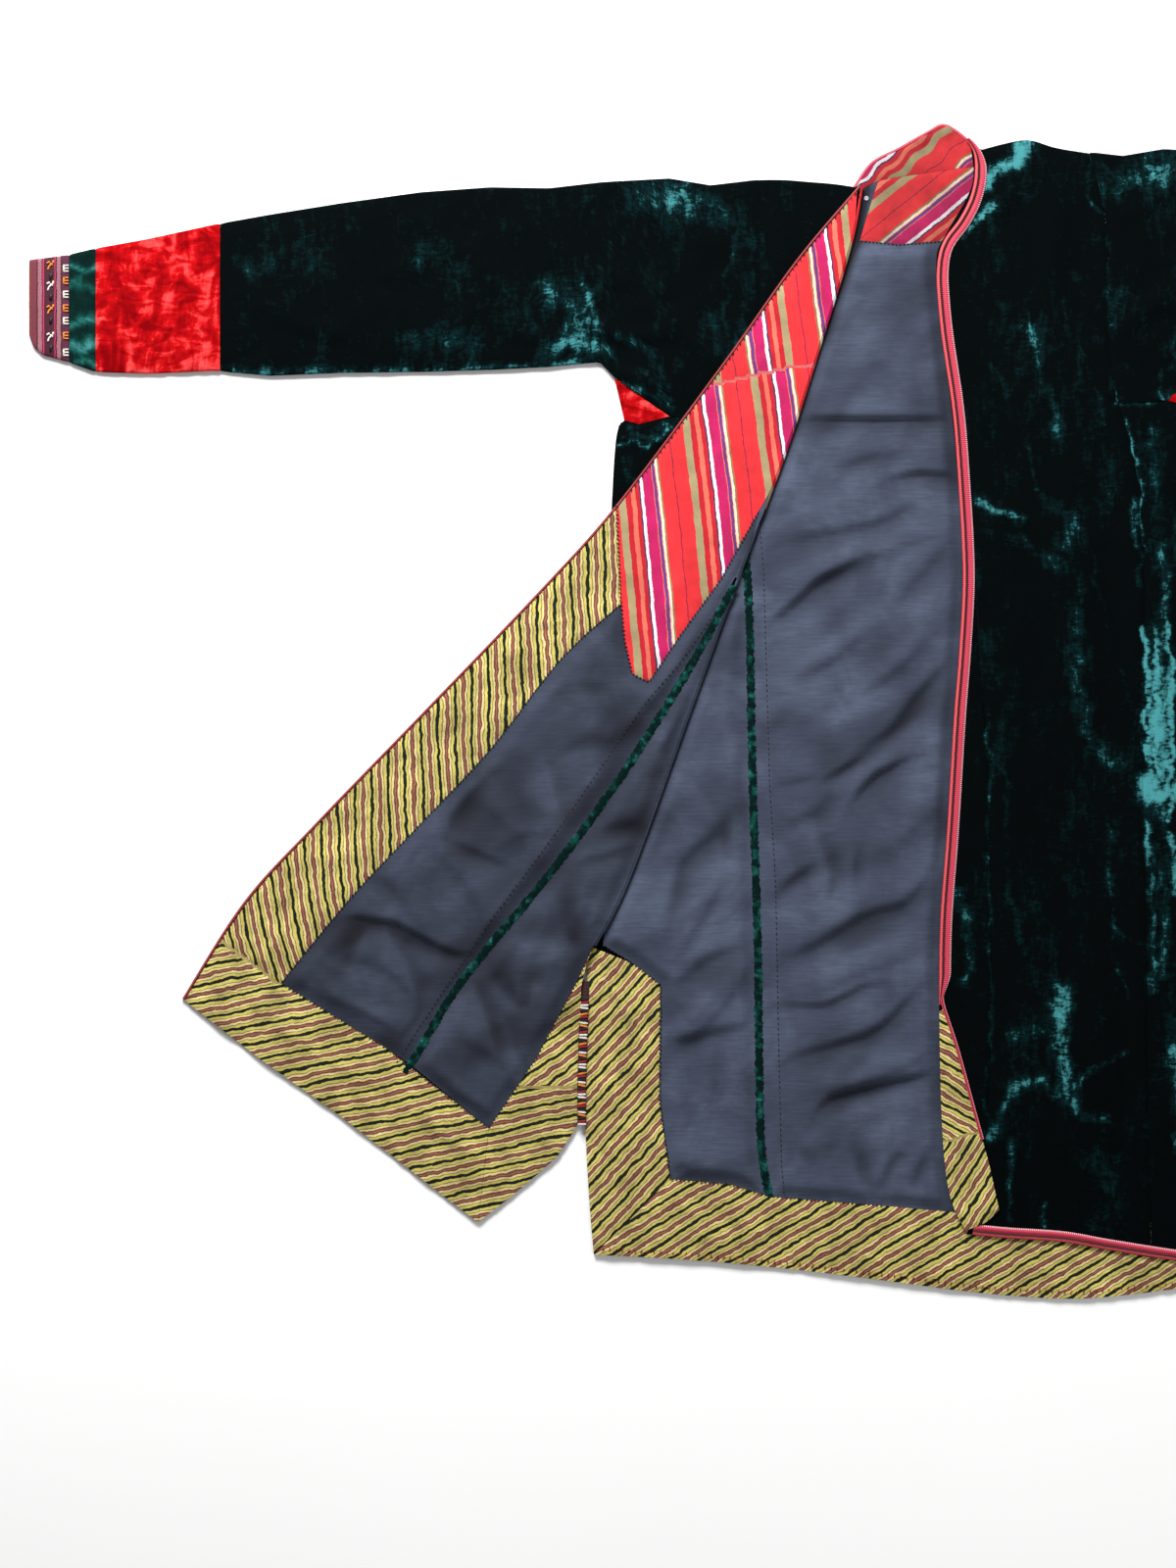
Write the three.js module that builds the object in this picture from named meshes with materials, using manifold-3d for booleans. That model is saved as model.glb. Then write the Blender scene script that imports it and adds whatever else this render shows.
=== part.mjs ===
// A Central Asian chapan: a long velvet coat, laid on its back with its right front turned open.
// Millimetres. X runs to the wearer's left sleeve, Y from the hem to the neck, Z up from the table.
// The cloth rests on z = 0 in layers: back, lining and facings, closed front, turned front.

import * as THREE from "three";
import Module from "manifold-3d";
import { mergeVertices } from "three/addons/utils/BufferGeometryUtils.js";

const wasm = await Module();
wasm.setup();

// ---- driving sizes ----

const VELVET = 1.5; // wall of the velvet pieces
const LINING = 1.0; // wall of linings, facings and braids
const GAP = 0.3; // between neighbouring pieces
const TURN_GAP = 1.5; // air between the turned front and the cloth that it is folded from
const CUFF_REACH = 905; // centre line to the end of either cuff

const LINING_Z = VELVET + GAP;
const FRONT_Z = LINING_Z + LINING + GAP;
const TURNED_Z = FRONT_Z + VELVET + TURN_GAP;
const BACK_MID = VELVET / 2;
const FRONT_MID = FRONT_Z + VELVET / 2;
const TURNED_MID = TURNED_Z + VELVET / 2;
const FACING_LOW = VELVET / 2 + GAP;
const FACING_HIGH = FACING_LOW + LINING;

const BRAID_WIDTH = 12;
const HEM_BRAID_WIDTH = 11;
const SLIT_BRAID_WIDTH = 8;
const EDGE_CORD_WIDTH = 3;
const ALLOWANCE_WIDTH = 6; // raw velvet that shows between two lining pieces
const TUCK_UNDER = 15; // how far a lining runs on under the cloth that hides it
const EDGE_WALL = 1.5; // the turned-down edge of a front, where it meets the back
const SEAM_REACH = 8; // a seam's cut runs on past the ends of its curve
const DRAPE_RUN = 60; // the turned front comes down to the table over this distance
const CURVE_STEPS = 3; // segments from one point of a smooth outline to the next

const COLOURS = {
  velvet: 0x0b2a26,
  red_velvet: 0xc81d25,
  lining: 0x3f4352,
  red_stripe: 0xdd3344,
  yellow_stripe: 0xc9b45c,
  braid: 0xd45468,
  cuff: 0x7a2338,
};

// ---- tables: one row for each station, with its columns named ----

function table(columns, ...rows) {
  const names = columns.split(" ");
  return rows.map((row) => Object.fromEntries(names.map((name, index) => [name, row[index]])));
}

function point(x, y) {
  return new THREE.Vector2(x, y);
}

function column(rows, xName, yName) {
  return rows.filter((row) => row[xName] !== undefined).map((row) => point(row[xName], row[yName]));
}

function smooth(points) {
  return new THREE.SplineCurve(points).getPoints((points.length - 1) * CURVE_STEPS);
}

function mirrored(points) {
  return points.map((p) => point(-p.x, p.y));
}

function moved(points, dx, dy) {
  return points.map((p) => point(p.x + dx, p.y + dy));
}

// The height at which a curve that runs down the garment passes a given y.
function crossAt(points, y) {
  for (let i = 1; i < points.length; i += 1) {
    const upper = points[i - 1];
    const lower = points[i];
    if (y <= upper.y && y >= lower.y) {
      const share = (upper.y - y) / (upper.y - lower.y);
      return upper.x + (lower.x - upper.x) * share;
    }
  }
  return y > points[0].y ? points[0].x : points[points.length - 1].x;
}

// Right half of the back from the armhole down: side edge, and seam of the side gore.
const BACK = table(
  "y side seam",
  [296, -298, -160],
  [274, -307, -163],
  [126, -315, -173],
  [-74, -327, -167],
  [-239, -333, -162],
  [-394, -338, -159],
  [-494, -334, -150],
);
const BACK_SEAM_FEET = table("x y", [-148, -567], [148, -598]); // on the hem, right and left

// Hem of the back, from the right slit to the left one.
const HEM = table(
  "x y",
  [-329, -554],
  [-235, -559],
  [-135, -568],
  [-35, -580],
  [65, -593],
  [165, -599],
  [264, -589],
  [329, -580],
);

// Top edge of the laid coat on either side of the collar, where the cloth folds over the shoulder.
const SHOULDER_R = table("x y", [-160, 542], [-110, 540], [-65, 535]);
const SHOULDER_L = table(
  "x y",
  [67, 573],
  [90, 579],
  [115, 583],
  [140, 575],
  [177, 569],
);
const ARMHOLE_L = table(
  "x y",
  [177, 569],
  [195, 486],
  [196, 384],
  [206, 315.5],
);

// Seam between the back and the collar, and the collar's free edge over it.
const NECK_SEAM = table("x y", [-64, 526], [-42, 540], [-4, 547], [58, 556]);
const COLLAR_EDGE = table(
  "x y",
  [-64, 535],
  [-46, 560],
  [-18, 575],
  [12, 592],
  [27, 599],
  [42, 592],
  [59, 577],
  [63, 568],
);

// The fold along which the right front is turned open, from the neck to the top of the side slit.
const FOLD = table(
  "x y",
  [-57, 534],
  [-68, 477],
  [-97, 382],
  [-134, 267],
  [-186, 128],
  [-237, -13],
  [-296, -174],
  [-329, -238],
);

// Free edges of the turned front: neck to hem, along the hem, and up the slit.
const TURNED_EDGE = table(
  "x y",
  [-59, 536],
  [-123, 460],
  [-197, 356],
  [-306, 211],
  [-382, 126],
  [-497, 6],
  [-613, -114],
  [-686, -194],
  [-749, -293],
);
const TURNED_HEM = table(
  "x y",
  [-749, -293],
  [-670, -354],
  [-586, -414],
  [-534, -454],
  [-480, -496],
  [-447, -521],
);
const TURNED_SLIT = table(
  "x y",
  [-447, -521],
  [-410, -492],
  [-366, -454],
  [-344, -419],
  [-343, -334],
  [-342, -279],
  [-336, -256],
  [-329, -238],
);

// Seams inside the turned front.
const TURNED_SEAM = table(
  "x y",
  [-186, 128],
  [-240, 30],
  [-306, -73],
  [-377, -169],
  [-463, -274],
  [-516, -360],
  [-561, -433],
);
const RED_END = table(
  "x y",
  [-306, 211],
  [-302, 119],
  [-298, 73],
  [-290, 38],
  [-273, 30],
  [-240, 79],
  [-200, 134],
  [-161, 204],
);
const EDGE_FACING_INNER = table(
  "x y",
  [-302, 109],
  [-364, 52],
  [-434, -38],
  [-511, -120],
  [-578, -191],
  [-648, -277],
);
const HEM_FACING_INNER = table("x y", [-648, -277], [-540, -344], [-436, -425]);
const SLIT_FACING_INNER = table(
  "x y",
  [-436, -425],
  [-388, -354],
  [-347, -277],
  [-329, -238],
);

// Closed left front, down its length: front edge, seam of the narrow edge gore, seam of the side gore.
const LEFT = table(
  "y edge gore side_seam",
  [576, 55],
  [536, 57],
  [483, 28],
  [451, 20],
  [314, 35, undefined, 206],
  [226, 43, undefined, 227],
  [126, 47, 60, 232],
  [-7, 38, 69, 230],
  [-121, 31, 74, 231],
  [-217, 24, 76, 233],
  [-306, 23, 77, 234],
  [-427, 26, 71, 236],
  [-495, 34, 70, 238],
  [-531, 51, 69, 239],
  [-557, undefined, undefined, 239],
);
const LEFT_HEM = table(
  "x y",
  [51, -533],
  [91, -537],
  [149, -541],
  [195, -549],
  [265, -560],
  [331, -568],
);

// The left front's lower corner is turned up on itself: its free edge, over the fold on its left.
const CORNER_EDGE = table(
  "x y",
  [28, -303],
  [42, -346],
  [60, -412],
  [73, -458],
  [84, -508],
  [71, -521],
  [53, -528],
);

// Inner edges of the facings that lie on the back.
const BACK_HEM_INNER = table(
  "x y",
  [-251, -477],
  [-191, -482],
  [-147, -495],
  [-34, -504],
  [77, -514],
  [333, -526],
);
const BACK_SLIT_INNER = table(
  "x y",
  [-320, -238],
  [-289, -257],
  [-261, -279],
  [-262, -397],
  [-251, -477],
);
const NECK_FACING = table("x y", [-39, 542], [-47, 517], [-58, 480], [-18, 476], [40, 481]);

// Sleeve outline from the cuff to the armhole: upper fold, lower edge, and loft of the upper layer.
const SLEEVE = table(
  "x top bottom loft",
  [-CUFF_REACH, 460, 384, 0],
  [-901, 460.4, 373, 0],
  [-891, 461.5, 364, 0],
  [-865.5, 465, 357, 0.6],
  [-838, 471.5, 347, 0.8],
  [-785, 481, 345, 1.6],
  [-716, 496, 348, 1.2],
  [-660, 506, 343, 1.8],
  [-585, 518, 346, 1],
  [-505, 529, 347, 1.8],
  [-435, 534, 349, 1.2],
  [-375, 533, 352, 1.6],
  [-323, 539, 357, 1],
  [-308, 540, 341, 0.4],
  [-252, 543, 301, 0],
  [-210, 536, 298.7, 0],
  [-160, 542, 296, 0],
);
const SLEEVE_JOINS = { end: -CUFF_REACH, cuff: -864, trim: -837, band: -710, armpit: -308 };
const LEFT_LIFT = { top: 30, bottom: 17, run: 260 }; // the left sleeve lies further up the table

// Half of the folded underarm gusset that shows: its point lies on the side seam.
const GUSSET = table("x y", [-308, 340], [-252, 301], [-283, 293], [-298, 297]);

// Seam between the two back linings, under its strip of raw velvet.
const BACK_LINING_SEAM = table(
  "x y",
  [-174, 162],
  [-170, 82],
  [-167, -74],
  [-162, -238],
  [-159, -429],
  [-150, -495],
);

// ---- smaller sizes ----

const SLIT_TOP_ROW = 4; // the row of BACK at which the side slit starts
const STRAIGHT_FROM_Y = 126; // the left back seam follows the right one from here down
const TUCK_END_Y = -179; // the tucked lining stops short of the slit
const NECK_HIDDEN = { x: 66, low: 516, high: 554 }; // neck facing, under the closed front
const SLIT_BRAID = { top: -279, bottom: -424 };
const LEFT_GRID = { left: 13, right: 357, top: 596, bottom: -584, stepX: 28.6, stepY: 59 };
const FOLD_GRID = {
  step: 38,
  across: [0, 10, 28, 50, 76, 104, 134, 166, 200, 236, 274, 314, 356, 400],
  beyond: 342, // the turned cloth runs on past the slit's top
  widening: 0.4, // and there it also widens to the other side of the fold's line
  tab: 8,
  rollSteps: 6,
  overlap: 12,
  slitLap: 36,
};
const SEAM_SPLIT_X = -335; // the turned seam leaves the body there
const SEAM_HALF_ANGLE = 0.1; // half of the hairline between the sewn edges of a sleeve, in radians
const SLEEVE_STEPS = { front: 6, fold: 4, back: 4 };

// Long soft folds in the closed front: a ridge at x, from y0 to y1.
const RIDGES = table(
  "x lean y0 y1 width height",
  [155, 18, 226, -94, 26, 2.4],
  [247, 4, 226, -454, 30, 3.2],
  [100, -6, 166, -504, 22, 1.8],
  [183, -10, -174, -524, 28, 2.6],
  [290, 6, 106, -534, 26, 2.2],
);

// Long soft folds in the turned front, down from the fold line.
const TURNED_RIDGES = table(
  "x lean y0 y1 width height",
  [-415, -260, -34, -404, 34, 3],
  [-535, -200, -104, -364, 30, 2.2],
  [-375, -60, -234, -464, 26, 2.6],
);

// ---- solids ----

function toSolid(geometry) {
  geometry.deleteAttribute("normal");
  geometry.deleteAttribute("uv");
  const merged = mergeVertices(geometry, 1e-4);
  const mesh = new wasm.Mesh({
    numProp: 3,
    vertProperties: new Float32Array(merged.attributes.position.array),
    triVerts: new Uint32Array(merged.index.array),
  });
  return new wasm.Manifold(mesh);
}

function prism(outline, low, high) {
  const geometry = new THREE.ExtrudeGeometry(new THREE.Shape(outline), {
    depth: high - low,
    bevelEnabled: false,
    steps: 1,
  });
  return toSolid(geometry.translate(0, 0, low));
}

// Points of a curve moved sideways, to the left of its direction.
function beside(points, distance) {
  return points.map((p, index) => {
    const before = points[Math.max(index - 1, 0)];
    const after = points[Math.min(index + 1, points.length - 1)];
    const along = after.clone().sub(before).normalize();
    return point(p.x - along.y * distance, p.y + along.x * distance);
  });
}

function lengthened(points, reach) {
  const first = points[0].clone().sub(points[1]).setLength(reach).add(points[0]);
  const count = points.length;
  const last = points[count - 1].clone().sub(points[count - 2]).setLength(reach).add(points[count - 1]);
  return [first, ...points, last];
}

function ribbon(points, width) {
  return [...beside(points, width / 2), ...beside(points, -width / 2).reverse()];
}

// Everything above or below z = 5 belongs to one layer only, so a seam is cut through all heights.
const ALL_LOW = -20;
const ALL_HIGH = 40;

function cutSeams(solid, seams, width = GAP) {
  return seams.reduce((left, seam) => {
    const cutter = prism(ribbon(lengthened(seam, SEAM_REACH), width), ALL_LOW, ALL_HIGH);
    return left.subtract(cutter);
  }, solid);
}

function flatPiece(outline, low, high, seams = []) {
  return cutSeams(prism(outline, low, high), seams);
}

// A wall of cloth between two offsets from a grid of points with normals.
function sheet(grid, low, high) {
  const rows = grid.length;
  const columns = grid[0].length;
  const positions = [];
  for (const offset of [low, high]) {
    for (const row of grid) {
      for (const cell of row) {
        const p = cell.p.clone().addScaledVector(cell.n, offset);
        positions.push(p.x, p.y, p.z);
      }
    }
  }
  const layer = rows * columns;
  const at = (i, j, top) => i * columns + j + (top ? layer : 0);
  const index = [];
  const quad = (a, b, c, d) => index.push(a, b, c, a, c, d);
  for (let i = 0; i < rows - 1; i += 1) {
    for (let j = 0; j < columns - 1; j += 1) {
      quad(at(i, j, true), at(i, j + 1, true), at(i + 1, j + 1, true), at(i + 1, j, true));
      quad(at(i, j), at(i + 1, j), at(i + 1, j + 1), at(i, j + 1));
    }
  }
  for (let i = 0; i < rows - 1; i += 1) {
    quad(at(i, 0), at(i, 0, true), at(i + 1, 0, true), at(i + 1, 0));
    quad(at(i, columns - 1), at(i + 1, columns - 1), at(i + 1, columns - 1, true), at(i, columns - 1, true));
  }
  for (let j = 0; j < columns - 1; j += 1) {
    quad(at(0, j), at(0, j + 1), at(0, j + 1, true), at(0, j, true));
    quad(at(rows - 1, j), at(rows - 1, j, true), at(rows - 1, j + 1, true), at(rows - 1, j + 1));
  }
  const geometry = new THREE.BufferGeometry();
  geometry.setAttribute("position", new THREE.Float32BufferAttribute(positions, 3));
  geometry.setIndex(inward(grid) ? index.reverse() : index);
  return toSolid(geometry);
}

// Whether the normals of a grid point against the turn of its first cell.
function inward(grid) {
  const corner = grid[0][0];
  const along = grid[1][0].p.clone().sub(corner.p);
  const across = grid[0][1].p.clone().sub(corner.p);
  return across.cross(along).dot(corner.n) < 0;
}

const garment = new THREE.Group();

function largest(solid) {
  const parts = solid.decompose();
  return parts.reduce((best, part) => (part.volume() > best.volume() ? part : best));
}

// Slivers that a cut leaves at a seam's ends fall away with the largest part kept.
function add(name, solid, colour) {
  const mesh = largest(solid).getMesh();
  const geometry = new THREE.BufferGeometry();
  geometry.setAttribute("position", new THREE.Float32BufferAttribute(mesh.vertProperties, 3));
  geometry.setIndex(Array.from(mesh.triVerts));
  geometry.computeVertexNormals();
  const material = new THREE.MeshStandardMaterial({ color: COLOURS[colour], roughness: 0.9, metalness: 0 });
  const node = new THREE.Mesh(geometry, material);
  node.name = name;
  garment.add(node);
}

// ---- shared curves ----

const sideR = smooth([...column(BACK, "side", "y"), point(HEM[0].x, HEM[0].y)]);
const [seamFootR, seamFootL] = column(BACK_SEAM_FEET, "x", "y");
const backSeamR = smooth([...column(BACK, "seam", "y"), seamFootR]);
const hem = smooth(column(HEM, "x", "y"));
const shoulderR = column(SHOULDER_R, "x", "y");
const shoulderL = smooth(column(SHOULDER_L, "x", "y"));
const armholeL = smooth(column(ARMHOLE_L, "x", "y"));
const backSeamL = [
  armholeL[armholeL.length - 1],
  ...mirrored(backSeamR).filter((p) => p.y <= STRAIGHT_FROM_Y),
  seamFootL,
];
const neckSeam = smooth(column(NECK_SEAM, "x", "y"));
const collarEdge = smooth(column(COLLAR_EDGE, "x", "y"));
const fold = smooth(column(FOLD, "x", "y"));
const turnedEdge = smooth(column(TURNED_EDGE, "x", "y"));
const turnedHem = column(TURNED_HEM, "x", "y");
const turnedSlit = column(TURNED_SLIT, "x", "y");
const turnedSeam = smooth(column(TURNED_SEAM, "x", "y"));
const redEnd = column(RED_END, "x", "y");
const edgeFacingInner = smooth(column(EDGE_FACING_INNER, "x", "y"));
const hemFacingInner = column(HEM_FACING_INNER, "x", "y");
const slitFacingInner = column(SLIT_FACING_INNER, "x", "y");
const leftEdge = smooth(column(LEFT, "edge", "y"));
const leftGoreSeam = smooth([point(49, 206), ...column(LEFT, "gore", "y")]);
const leftSideSeam = smooth(column(LEFT, "side_seam", "y"));
const leftHem = smooth(column(LEFT_HEM, "x", "y"));
const backHemInner = column(BACK_HEM_INNER, "x", "y");
const backSlitInner = column(BACK_SLIT_INNER, "x", "y");
const neckFacing = column(NECK_FACING, "x", "y");

const backLiningSeam = smooth(column(BACK_LINING_SEAM, "x", "y"));
const gusset = column(GUSSET, "x", "y");
const gussetL = moved(mirrored(gusset), 0, LEFT_LIFT.bottom);
const armholeR = [point(-160, 550), point(-160, 296)];
const underarmR = [gusset[1], armholeR[1]];
const underarmL = [gussetL[1], armholeL[armholeL.length - 1]];
const sideL = [gussetL[3], ...mirrored(sideR).filter((p) => p.y < gussetL[3].y - LEFT_LIFT.top)];
const slitTop = column(BACK, "side", "y")[SLIT_TOP_ROW];
const aboveSlitR = sideR.filter((p) => p.y >= slitTop.y);
const aboveSlitL = sideL.filter((p) => p.y >= slitTop.y);

// ---- the back, flat on the table ----

function buildBack() {
  const middleHem = hem.filter((p) => p.x > seamFootR.x && p.x < seamFootL.x);
  const centre = [
    ...shoulderR,
    ...neckSeam,
    ...shoulderL,
    ...armholeL.slice(1),
    ...backSeamL.slice(1),
    ...middleHem.reverse(),
    ...backSeamR.slice().reverse(),
  ];
  const goreR = [...gusset.slice(1), ...sideR.slice(1), ...hem.filter((p) => p.x < seamFootR.x).slice(1)];
  goreR.push(...backSeamR.slice().reverse());
  const goreL = [...gussetL.slice(1), ...sideL.slice(1, -1)];
  goreL.push(...hem.filter((p) => p.x > seamFootL.x).reverse(), ...backSeamL.slice().reverse());
  const centreSeams = [backSeamR, backSeamL, neckSeam, armholeR, armholeL];
  add("back_centre", flatPiece(centre, 0, VELVET, centreSeams), "velvet");
  add("back_gore_r", flatPiece(goreR, 0, VELVET, [backSeamR, underarmR, gusset.slice(1)]), "velvet");
  add("back_gore_l", flatPiece(goreL, 0, VELVET, [backSeamL, underarmL, gussetL.slice(1)]), "velvet");
}

// ---- linings and facings on the back ----

function buildBackLinings() {
  const top = LINING_Z + LINING;
  const hemCorner = hem[0];
  const hemInnerStart = backHemInner[0];
  const corner = [hemInnerStart, hemCorner];
  const seams = [backHemInner, backSlitInner, neckFacing, neckSeam, corner];
  const tuck = moved(fold, -TUCK_UNDER, 0);
  const seamTop = backLiningSeam[0];
  const rightOfCentre = moved(leftEdge, TUCK_UNDER + BRAID_WIDTH, 0);
  const neckRight = neckFacing[neckFacing.length - 1];
  const centre = [
    ...neckSeam.filter((p) => p.x < neckFacing[0].x),
    ...neckFacing,
    ...rightOfCentre.filter((p) => p.y < neckRight.y && p.y > backHemInner[4].y),
    ...backHemInner.slice(2, 5).reverse(),
    ...backLiningSeam.slice().reverse(),
    ...tuck.filter((p) => p.y > seamTop.y && p.y < neckSeam[0].y - TUCK_UNDER).reverse(),
  ];
  const gore = [
    ...tuck.filter((p) => p.y < seamTop.y && p.y > TUCK_END_Y),
    ...backSlitInner,
    ...backHemInner.slice(1, 2),
    ...backLiningSeam.slice().reverse(),
  ];
  const slit = [...sideR.filter((p) => p.y < slitTop.y), ...backSlitInner.slice().reverse()];
  const hemFacing = [...hem, backHemInner[backHemInner.length - 1], ...backHemInner.slice(0, -1).reverse()];
  const neck = [...neckFacing, point(NECK_HIDDEN.x, NECK_HIDDEN.low), point(NECK_HIDDEN.x, NECK_HIDDEN.high)];
  neck.push(...neckSeam.filter((p) => p.x > neckFacing[0].x).reverse());
  const lined = (outline) => {
    const whole = flatPiece(outline, LINING_Z, top, seams);
    return cutSeams(whole, [backLiningSeam], ALLOWANCE_WIDTH + 2 * GAP);
  };
  add("back_lining_centre", lined(centre), "lining");
  add("back_lining_gore", lined(gore), "lining");
  const allowance = ribbon(backLiningSeam, ALLOWANCE_WIDTH);
  add("back_seam_allowance", flatPiece(allowance, LINING_Z, top, seams), "velvet");
  add("back_neck_facing", flatPiece(neck, LINING_Z, top, seams), "red_stripe");
  add("back_hem_facing", flatPiece(hemFacing, LINING_Z, top, seams), "yellow_stripe");
  add("back_slit_facing", flatPiece(slit, LINING_Z, top, seams), "yellow_stripe");
  const braidLine = sideR.filter((p) => p.y < SLIT_BRAID.top && p.y > SLIT_BRAID.bottom);
  const braid = ribbon(beside(braidLine, SLIT_BRAID_WIDTH / 2), SLIT_BRAID_WIDTH);
  add("back_slit_braid", prism(braid, top + GAP, top + GAP + LINING), "braid");
}

function buildCollar() {
  const outline = [...collarEdge, ...neckSeam.slice().reverse()];
  add("collar", flatPiece(outline, 0, VELVET, [neckSeam]), "velvet");
  add("collar_facing", flatPiece(outline, LINING_Z, LINING_Z + LINING, [neckSeam]), "red_stripe");
}

// ---- soft folds ----

function fadeIn(value, from, to) {
  return THREE.MathUtils.smoothstep(value, from, to);
}

function ridgeHeight(ridges, x, y) {
  return ridges.reduce((sum, ridge) => {
    const share = (ridge.y0 - y) / (ridge.y0 - ridge.y1);
    const across = (x - ridge.x - ridge.lean * share) / ridge.width;
    const along = fadeIn(share, 0, 0.3) * (1 - fadeIn(share, 0.7, 1));
    return sum + ridge.height * along * Math.exp(-across * across);
  }, 0);
}

// ---- the closed left front ----

const UP = new THREE.Vector3(0, 0, 1);

function leftGrid() {
  const rows = [];
  for (let y = LEFT_GRID.top; y >= LEFT_GRID.bottom; y -= LEFT_GRID.stepY) {
    const row = [];
    for (let x = LEFT_GRID.left; x <= LEFT_GRID.right; x += LEFT_GRID.stepX) {
      const side = crossAt(sideL, y);
      const calm = 1 - fadeIn(x, side - 2 * LEFT_GRID.stepX, side - LEFT_GRID.stepX);
      const z = FRONT_MID + calm * ridgeHeight(RIDGES, x, y);
      row.push({ p: new THREE.Vector3(x, y, z), n: UP });
    }
    rows.push(row);
  }
  return rows;
}

function buildLeftFront() {
  const grid = leftGrid();
  const velvet = sheet(grid, -VELVET / 2, VELVET / 2);
  const trim = sheet(grid, FACING_LOW, FACING_HIGH);
  const foot = leftHem[leftHem.length - 1];
  const outer = [...sideL.slice(1).filter((p) => p.y > foot.y), foot];
  const footOfSide = leftSideSeam[leftSideSeam.length - 1];
  const footOfGore = leftGoreSeam[leftGoreSeam.length - 1];
  const seams = [leftSideSeam, leftGoreSeam, armholeL, underarmL, gussetL.slice(1)];
  const gore = [
    ...gussetL.slice(1, 3),
    ...sideL.slice(0, 1),
    ...outer,
    ...leftHem.slice(0, -1).filter((p) => p.x > footOfSide.x).reverse(),
    ...leftSideSeam.slice().reverse(),
  ];
  const goreTop = leftGoreSeam[0];
  const panel = [
    ...leftEdge.filter((p) => p.y > goreTop.y).reverse(),
    ...shoulderL,
    ...armholeL.slice(1),
    ...leftSideSeam.slice(1),
    ...leftHem.filter((p) => p.x < footOfSide.x && p.x > footOfGore.x).reverse(),
    ...leftGoreSeam.slice().reverse(),
  ];
  const edgeGore = [
    ...leftEdge.filter((p) => p.y < goreTop.y),
    ...leftHem.filter((p) => p.x < footOfGore.x),
    ...leftGoreSeam.slice().reverse(),
  ];
  const cornerEdge = column(CORNER_EDGE, "x", "y");
  const cornerFold = leftEdge.filter((p) => p.y < cornerEdge[0].y);
  const corner = [...cornerEdge, ...cornerFold.slice().reverse()];
  const flapLow = VELVET / 2 + GAP;
  const flapHigh = flapLow + VELVET;
  const flap = sheet(grid, flapLow, flapHigh).intersect(prism(corner, ALL_LOW, ALL_HIGH));
  const facing = sheet(grid, flapHigh + GAP, flapHigh + GAP + LINING);
  const foldWall = edgeStrip(cornerFold, EDGE_WALL, FRONT_Z + GAP, FRONT_Z + 2 * VELVET);
  const shoulderWall = edgeStrip(shoulderL, -EDGE_WALL, LINING_Z, FRONT_MID);
  const sideWall = edgeStrip(aboveSlitL, -EDGE_WALL, LINING_Z, FRONT_MID);
  const cut = (solid, outline) => cutSeams(solid.intersect(prism(outline, ALL_LOW, ALL_HIGH)), seams);
  add("front_l_panel", cutSeams(cut(velvet, panel).add(shoulderWall), [armholeL]), "velvet");
  add("front_l_gore", cut(velvet, gore).add(sideWall), "velvet");
  add("front_l_edge_gore", cut(velvet, edgeGore).add(foldWall).add(flap), "velvet");
  add("front_l_corner_facing", facing.intersect(prism(corner, ALL_LOW, ALL_HIGH)), "yellow_stripe");
  const braidLine = leftEdge.filter((p) => p.y > cornerEdge[0].y);
  const braid = [...braidLine, ...beside(braidLine, BRAID_WIDTH).reverse()];
  add("front_l_braid", trim.intersect(prism(braid, ALL_LOW, ALL_HIGH)), "braid");
  const hemLine = leftHem.filter((p) => p.x > cornerEdge[4].x + 2);
  const hemBraid = [...hemLine, ...beside(hemLine, HEM_BRAID_WIDTH).reverse()];
  add("front_l_hem_braid", trim.intersect(prism(hemBraid, ALL_LOW, ALL_HIGH)), "braid");
}

// A narrow wall that stands along an edge and joins two layers of one piece.
function edgeStrip(edge, width, low, high) {
  return prism([...edge, ...beside(edge, width).reverse()], low, high);
}

// ---- the right front, folded open ----

const foldTop = fold[0];
const foldFoot = fold[fold.length - 1];
const foldRun = foldFoot.clone().sub(foldTop).normalize();
const foldOut = point(foldRun.y, -foldRun.x); // from the fold towards the turned side

// Height of the middle of the turned cloth: on the front that it folds from, or down on the table.
function turnedMid(x, y) {
  const side = crossAt(sideR, y) - FOLD_GRID.overlap;
  const onBody = fadeIn(x, side - DRAPE_RUN, side);
  const aboveSlit = fadeIn(y, slitTop.y - FOLD_GRID.slitLap - DRAPE_RUN, slitTop.y - FOLD_GRID.slitLap);
  const rest = THREE.MathUtils.lerp(BACK_MID, TURNED_MID, onBody * aboveSlit);
  return rest + ridgeHeight(TURNED_RIDGES, x, y);
}

function foldStations() {
  const stations = [];
  const before = foldTop.clone().addScaledVector(foldRun, -FOLD_GRID.step);
  stations.push(before);
  for (let i = 0; i < fold.length; i += 1) {
    stations.push(fold[i]);
  }
  for (let run = FOLD_GRID.step; run <= FOLD_GRID.beyond; run += FOLD_GRID.step) {
    stations.push(foldFoot.clone().addScaledVector(foldRun, run));
  }
  return stations;
}

function turnedGrid() {
  const widest = FOLD_GRID.across[FOLD_GRID.across.length - 1];
  return foldStations().map((station) => {
    const past = Math.max(station.clone().sub(foldFoot).dot(foldRun), 0);
    return FOLD_GRID.across.map((reach) => {
      const out = reach - past * FOLD_GRID.widening * (1 - reach / widest);
      const x = station.x + foldOut.x * out;
      const y = station.y + foldOut.y * out;
      return { p: new THREE.Vector3(x, y, turnedMid(x, y)), n: UP };
    });
  });
}

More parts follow.
